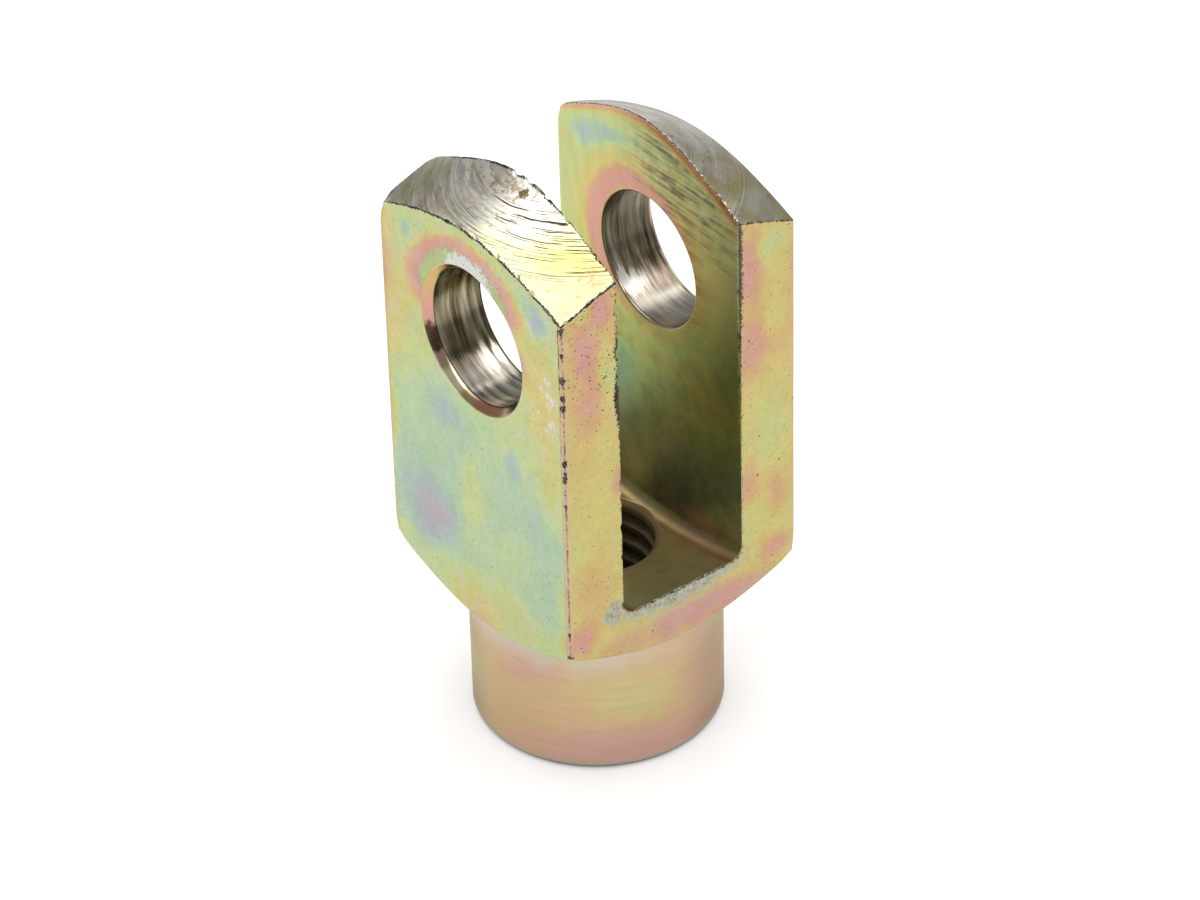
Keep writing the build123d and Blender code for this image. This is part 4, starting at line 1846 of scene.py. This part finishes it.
class DrilledBore(Finish):
    """The pin hole: brown-silver, with rings of drill marks, painted light and shade, and filmed chamfers.
    """

    name = "drilled_bore"
    TONES = ((0.32, "50462E"), (0.45, "7A7058"), (0.56, "928A74"), (0.68, "B8B29C"))

    @cached_property
    def rings(self) -> Signal:
        """The drill's rings."""
        return self.streaked((0.30, 3.4, 3.4), 4.0, 0.55, (0.0, 0.0, 2.0))

    @cached_property
    def far(self) -> Signal:
        """1 on the far ear."""
        return self.x.ease(-1.0, 1.0)

    @cached_property
    def round_pin(self) -> Signal:
        """The way out from the pin's axis, one long."""
        away = self.vector("SUBTRACT", self.where, (0, 0, self.sizes.pin_height))
        return self.vector("NORMALIZE", self.vector("MULTIPLY", away, (0, 1, 1)))

    def facing(self, y: float, z: float) -> Signal:
        """Return how far the way out from the pin's axis points toward y, z."""
        return self.toward((0, y, z), self.round_pin)

    def dress(self) -> bpy.types.Material:
        """Build the rings, the painted light and shade with its bright strip, and the film on the chamfers.

        Returns:
            The material.
        """
        self.colour = self.rings.ramp(self.TONES)
        self.lit()
        self.dimmed()
        rim = self.sizes.half - self.sizes.pin_countersink
        self.coat(abs(self.x).ease(rim - 0.08, rim), self.chamfer())
        rough = self.rings.ease(0.3, 0.7, 0.18, 0.28) + self.far * 0.08
        return self.metal(rough, self.rings.bump(0.008))

    def lit(self) -> None:
        """Paint the light: brighten the side that faces the light and pale the hole's bottom, lay the
        painted highlight strip where the hole mirrors it, brighter and pink on the far ear, and paint shade
        on the far hole, on the strip's outer end and in streaks low in the near hole.
        """
        toward = self.blend(self.far, self.facing(0.52, -0.854), self.facing(0.62, -0.785))
        aside = abs(self.x)
        sky = self.facing(0.95, 0.3).ease(0.75, 0.95, 1.0, 1.25)
        self.shade(self.blend(self.far, sky, 0.85))
        low = self.facing(0, -1)
        self.coat(low.ease(0.8, 0.97, 0.0, 0.8), self.tint(self.rings, "8E877A", "D0CABE"))
        # Painted highlight: the bright strip where the hole mirrors the light.
        strip = ((self.rings - 0.5) * 0.16 + toward).ease(0.972, 1.0, 0.0, 0.9)
        self.coat(strip * aside.ease(6.8, 5.0, 0.1, 1.0), "E6DCD2")
        self.shade(aside.ease(5.2, 6.6, 1.0, 0.5), toward.ease(0.93, 0.97))
        self.shade(self.rings.ease(0.35, 0.6, 0.55, 1.1), low.ease(0.89, 0.97) * (1.0 - self.far))
        self.shade(2.0, toward.ease(0.84, 0.96) * self.far)
        # Painted highlight: pink stripes in the far hole's bright strip.
        pink_highlight = self.rings.ease(0.46, 0.60, 0.0, 0.5) * toward.ease(0.94, 0.99)
        self.coat(pink_highlight * self.far, "F0C4B8")

    def dimmed(self) -> None:
        """Paint shade as two darker bands in the far ear's hole."""
        dim = self.facing(0.342, -0.94).ease(0.955, 0.995, 0.0, 0.3)
        dim = dim + self.facing(0.965, -0.26).ease(0.90, 0.98, 0.0, 0.28)
        self.shade(1.0 - dim * self.far)

    def chamfer(self) -> Signal:
        """Return the chamfer's film: green over the top to pink below, darker lower down, with a painted
        dark reflection, a painted yellow-white highlight and red in places.

        Returns:
            The colour.
        """
        lower = self.facing(0.1, -1)
        level = self.noise(1.8) * 0.3 + lower.ease(-0.6, 0.9, 0.42, 0.76)
        film = self.film_colour(level).shade(lower.ease(0.0, 0.8, 1.0, 0.8))
        # Painted dark reflection: a dark band on the chamfer, placed by which way it faces.
        painted_dark_reflection = self.noise(0.5, 4.0) * 0.08 + self.facing(0.91, -0.415)
        film = film.tint(painted_dark_reflection.ease(1.01, 1.035, 0.0, 0.9), "3E3020")
        # Painted highlight: a pale yellow shine on the chamfer.
        film = film.tint(self.facing(0.47, -0.883).ease(0.97, 0.995, 0.0, 0.8), "F2EAC0")
        return film.tint(self.facing(-0.25, -0.968).ease(0.93, 0.99, 0.0, 0.6), "B4714E")


class TurnedNeck(Finish):
    """The neck and the lower cone: beige and pink film over fine turning streaks."""

    name = "turned_neck"
    SPOTS = (
        FilmSpot(Film.YELLOW, (-2.8, -6.5, 5.0), (4.2, 4, 2.8), 1.2),
        FilmSpot(Film.PINK, (-6.4, -2.4, 6.8), (3, 3, 2.0), 0.9),
        FilmSpot(Film.LIME, (-6.8, 3, 3.8), (2, 2, 2), 0.7),
        FilmSpot(Film.PINK, (-3, -6, 1.3), (9, 9, 2.2), 1.3),
        FilmSpot(Film.SALMON, (2.2, -6.8, 5), (2.4, 3, 3), 0.8),
        FilmSpot(Film.LIME, (6, -3.8, 5), (2.2, 3, 7), 0.8),
    )

    def dress(self) -> bpy.types.Material:
        """Build the film, the streaks and the painted light: shade to the right, an olive reflection to the
        left, a highlight under the shoulder, a pale grey highlight on the foot and shade along its bottom.

        Returns:
            The material.
        """
        streaks = self.streaked((4.0, 4.0, 0.34), 4.0, 0.6)
        cloud = self.noise(0.9, 4.0)
        aside = self.toward((0.794, -0.608, 0))
        level = self.film_level(Film.AMBER.level + 0.02, 0.20, self.SPOTS)
        self.colour = self.film_colour((streaks - 0.5) * 0.16 + level).tint(0.28, "D4C8B6")
        self.shade(streaks.even(0.3, 0.7, 0.95, 1.08))
        # Painted shade: darker on the side that faces +x, -y.
        self.shade(aside.ease(4.2, 7.0, 1.0, 0.76))
        # Painted reflection: olive on the side that faces -x, +y.
        self.coat(aside.ease(-6.0, -7.2, 0.0, 0.5), "A8A07C")
        # Painted highlight: pale under the shoulder, most on the -x, +y side.
        under = (cloud * 1.8 + self.z).ease(7.0, 9.0, 0.0, 0.6)
        self.coat(under * aside.ease(5.0, 0.0, 0.3, 1.0), "DEDACC")
        # Painted highlight: a pale grey foot.
        self.coat((cloud * 0.5 + self.z).ease(1.25, 0.6, 0.0, 0.6), "C8C0B2")
        # Painted shade: a dark line along the very bottom.
        self.coat(self.z.ease(0.34, 0.16, 0.0, 0.8), "5C5A50")
        normal = streaks.bump(0.005, self.noise(0.3, 3.0).bump(0.005))
        return self.metal(0.40, normal)


class CutThread(Finish):
    """The tapped hole: dark brown-grey film on the flanks."""

    name = "cut_thread"

    def dress(self) -> bpy.types.Material:
        """Build the film's mottling, painted light that makes its roots brighter than its crests, and the
        band by the slot's floor.

        Returns:
            The material.
        """
        mouth, drill = self.sizes.mouth_height, self.sizes.tap_drill_radius
        self.colour = self.noise(0.9, 4.0).ramp(((0.3, "3E3426"), (0.5, "4C4030"), (0.7, "5A4C38")))
        # Painted light: the thread's roots, which lie in shade, are drawn up to three times brighter.
        self.shade(self.from_axis().ease(drill, drill + self.sizes.thread_depth, 1.2, 3.0))
        self.coat(self.z.ease(mouth - 1.0, mouth), "7C6640")
        return self.metal(0.5, self.noise(0.2, 3.0).bump(0.006), metallic=0.2)


FINISHES = {Zone.FLAT: PlatedFlat, Zone.CONE: TurnedCone, Zone.SLOT: MilledSlot, Zone.BORE: DrilledBore,
            Zone.NECK: TurnedNeck, Zone.THREAD: CutThread}


class ForkHead:
    """The plated fork head: its mesh, what the mesh carries for the finishes, and the finishes."""

    def __init__(self, sizes: ForkSizes, wear: Wear) -> None:
        """Keep the sizes and the surface they make."""
        self.sizes = sizes
        self.wear = wear
        self.surface = ForkSurface(sizes, wear)

    def build(self) -> None:
        """Make the mesh, settle it onto the surface, dress it and give it to the frame."""
        s = self.sizes
        points, faces, zones = ForkMesh(s).build().weld()
        points = self.surface.finished(points, self.joined(faces))
        points = np.clip(points, [-s.half, -s.half, 0.0], [s.half, s.half, s.top(s.cheek, 0.0)])
        obj = make_object("plated_fork_head", points * MM, faces, zones)
        self.mark_gaps(obj, points)
        for zone in Zone:
            obj.data.materials.append(FINISHES[zone](self.sizes, self.wear).dress())
        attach(obj, BODY)
        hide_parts(NODE)
        LOG.info("%s: %d points, %d faces", obj.name, len(points), len(obj.data.polygons))

    def joined(self, faces: dict[int, np.ndarray]) -> np.ndarray:
        """Return the pairs of points that the faces' sides join, each pair once."""
        pairs = [np.stack([ring, np.roll(ring, -1, axis=1)], axis=-1).reshape(-1, 2)
                 for ring in faces.values()]
        return np.unique(np.sort(np.concatenate(pairs), axis=1), axis=0)

    def mark_gaps(self, obj: bpy.types.Object, points: np.ndarray) -> None:
        """Store how far each point lies from its nearest edge, and from the turned cone's rim.

        The gap is the second nearest surface's, since the nearest is the one that the point lies on.

        Args:
            obj: the mesh object.
            points: its points in millimetres.
        """
        gaps = self.surface.gaps(points, self.surface.marks(points))
        near = -np.sort(self.surface.outer(gaps), axis=0)[-2]
        values = {"edge_gap": np.minimum(near, self.surface.bar_edge(points)),
                  "cone_gap": np.maximum(-gaps["cone"], np.minimum(-gaps["sides"], -gaps["slot"])),
                  "slot_gap": np.maximum(-gaps["slot"], -gaps["sides"])}
        for name, value in values.items():
            layer = obj.data.attributes.new(name, "FLOAT", "POINT")
            layer.data.foreach_set("value", value.astype(np.float32))


# --------------------------------------------------------------------------------------------
# The studio
# --------------------------------------------------------------------------------------------


@dataclass(frozen=True)
class Studio:
    """A pale floor, a soft overhead light, an even surround and the camera."""

    floor_half: float = 2500.0
    floor_shade: float = 0.86
    floor_lift: float = 0.3
    surround: float = 0.38
    lamp_height: float = 600.0
    lamp_reach: float = 1000.0
    lamp_brightness: float = 1.87
    image_width: int = 1200
    sensor_width: float = 36.0
    focal_pixels: float = 5364.46
    azimuth: float = -37.43613
    elevation: float = 35.82012
    roll: float = -1.49107
    distance: float = 298.604
    aim: Place = (0.0, 0.0, 17.4)
    aside: float = 0.44528
    upward: float = -0.27968

    def camera(self) -> None:
        """Place the camera from its direction, roll and distance.

        Its axes are worked out from azimuth and elevation, turned by the roll, and its place is the aim
        plus the distance back, with a small step aside and upward.
        """
        az, el, roll = (math.radians(angle) for angle in (self.azimuth, self.elevation, self.roll))
        back = Vector((math.sin(az) * math.cos(el), -math.cos(az) * math.cos(el), math.sin(el)))
        level = Vector((math.cos(az), math.sin(az), 0.0))
        upright = back.cross(level)
        right = level * math.cos(roll) + upright * math.sin(roll)
        up = upright * math.cos(roll) - level * math.sin(roll)
        place = Vector(self.aim) + back * self.distance + right * self.aside + up * self.upward
        lens = bpy.data.cameras.new("camera")
        lens.sensor_width = self.sensor_width
        lens.lens = self.focal_pixels * self.sensor_width / self.image_width
        lens.clip_start = 0.01
        lens.clip_end = 20.0
        camera = placed("camera", lens)
        turn = Matrix((right, up, back)).transposed()
        camera.matrix_world = Matrix.Translation(place * MM) @ turn.to_4x4()
        bpy.context.scene.camera = camera

    def floor(self) -> None:
        """Lay the floor, which shows white and still takes the object's shadow."""
        edge = self.floor_half * MM
        mesh = bpy.data.meshes.new("studio_floor")
        mesh.from_pydata([(-edge, -edge, 0), (edge, -edge, 0), (edge, edge, 0), (-edge, edge, 0)], [],
                         [(0, 1, 2, 3)])
        obj = placed("studio_floor", mesh)
        bench = Bench("studio_floor")
        matt = bench.node("ShaderNodeBsdfDiffuse", {"Color": (self.floor_shade,) * 3 + (1.0,)})
        seen = bench.node("ShaderNodeLightPath", {}, "Is Camera Ray")
        glow = bench.node("ShaderNodeEmission", {"Strength": seen * self.floor_lift})
        mesh.materials.append(bench.shown(bench.node("ShaderNodeAddShader", {0: matt, 1: glow})))

    def lights(self) -> None:
        """Hang one large round soft light overhead and set an even grey surround."""
        lamp = bpy.data.lights.new("softbox", "AREA")
        lamp.shape = "DISK"
        lamp.size = self.lamp_reach * MM
        area = math.pi * (self.lamp_reach * MM / 2) ** 2
        lamp.energy = self.lamp_brightness * math.pi * area
        placed("softbox", lamp).location = (0.0, 0.0, self.lamp_height * MM)
        world = bpy.data.worlds.new("surround")
        world.use_nodes = True
        even = world.node_tree.nodes["Background"].inputs["Color"]
        even.default_value = (self.surround,) * 3 + (1.0,)
        bpy.context.scene.world = world

    def build(self) -> None:
        """Set up the whole studio."""
        self.floor()
        self.lights()
        self.camera()
        bpy.context.scene.view_settings.view_transform = "Standard"


def main() -> None:
    """Build the fork head and the studio."""
    logging.basicConfig(level=logging.INFO, format="%(name)s: %(message)s")
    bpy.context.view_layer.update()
    sizes = ForkSizes.from_frame(frame["record"])
    ForkHead(sizes, Wear()).build()
    Studio().build()


if __name__ == "__main__":
    main()
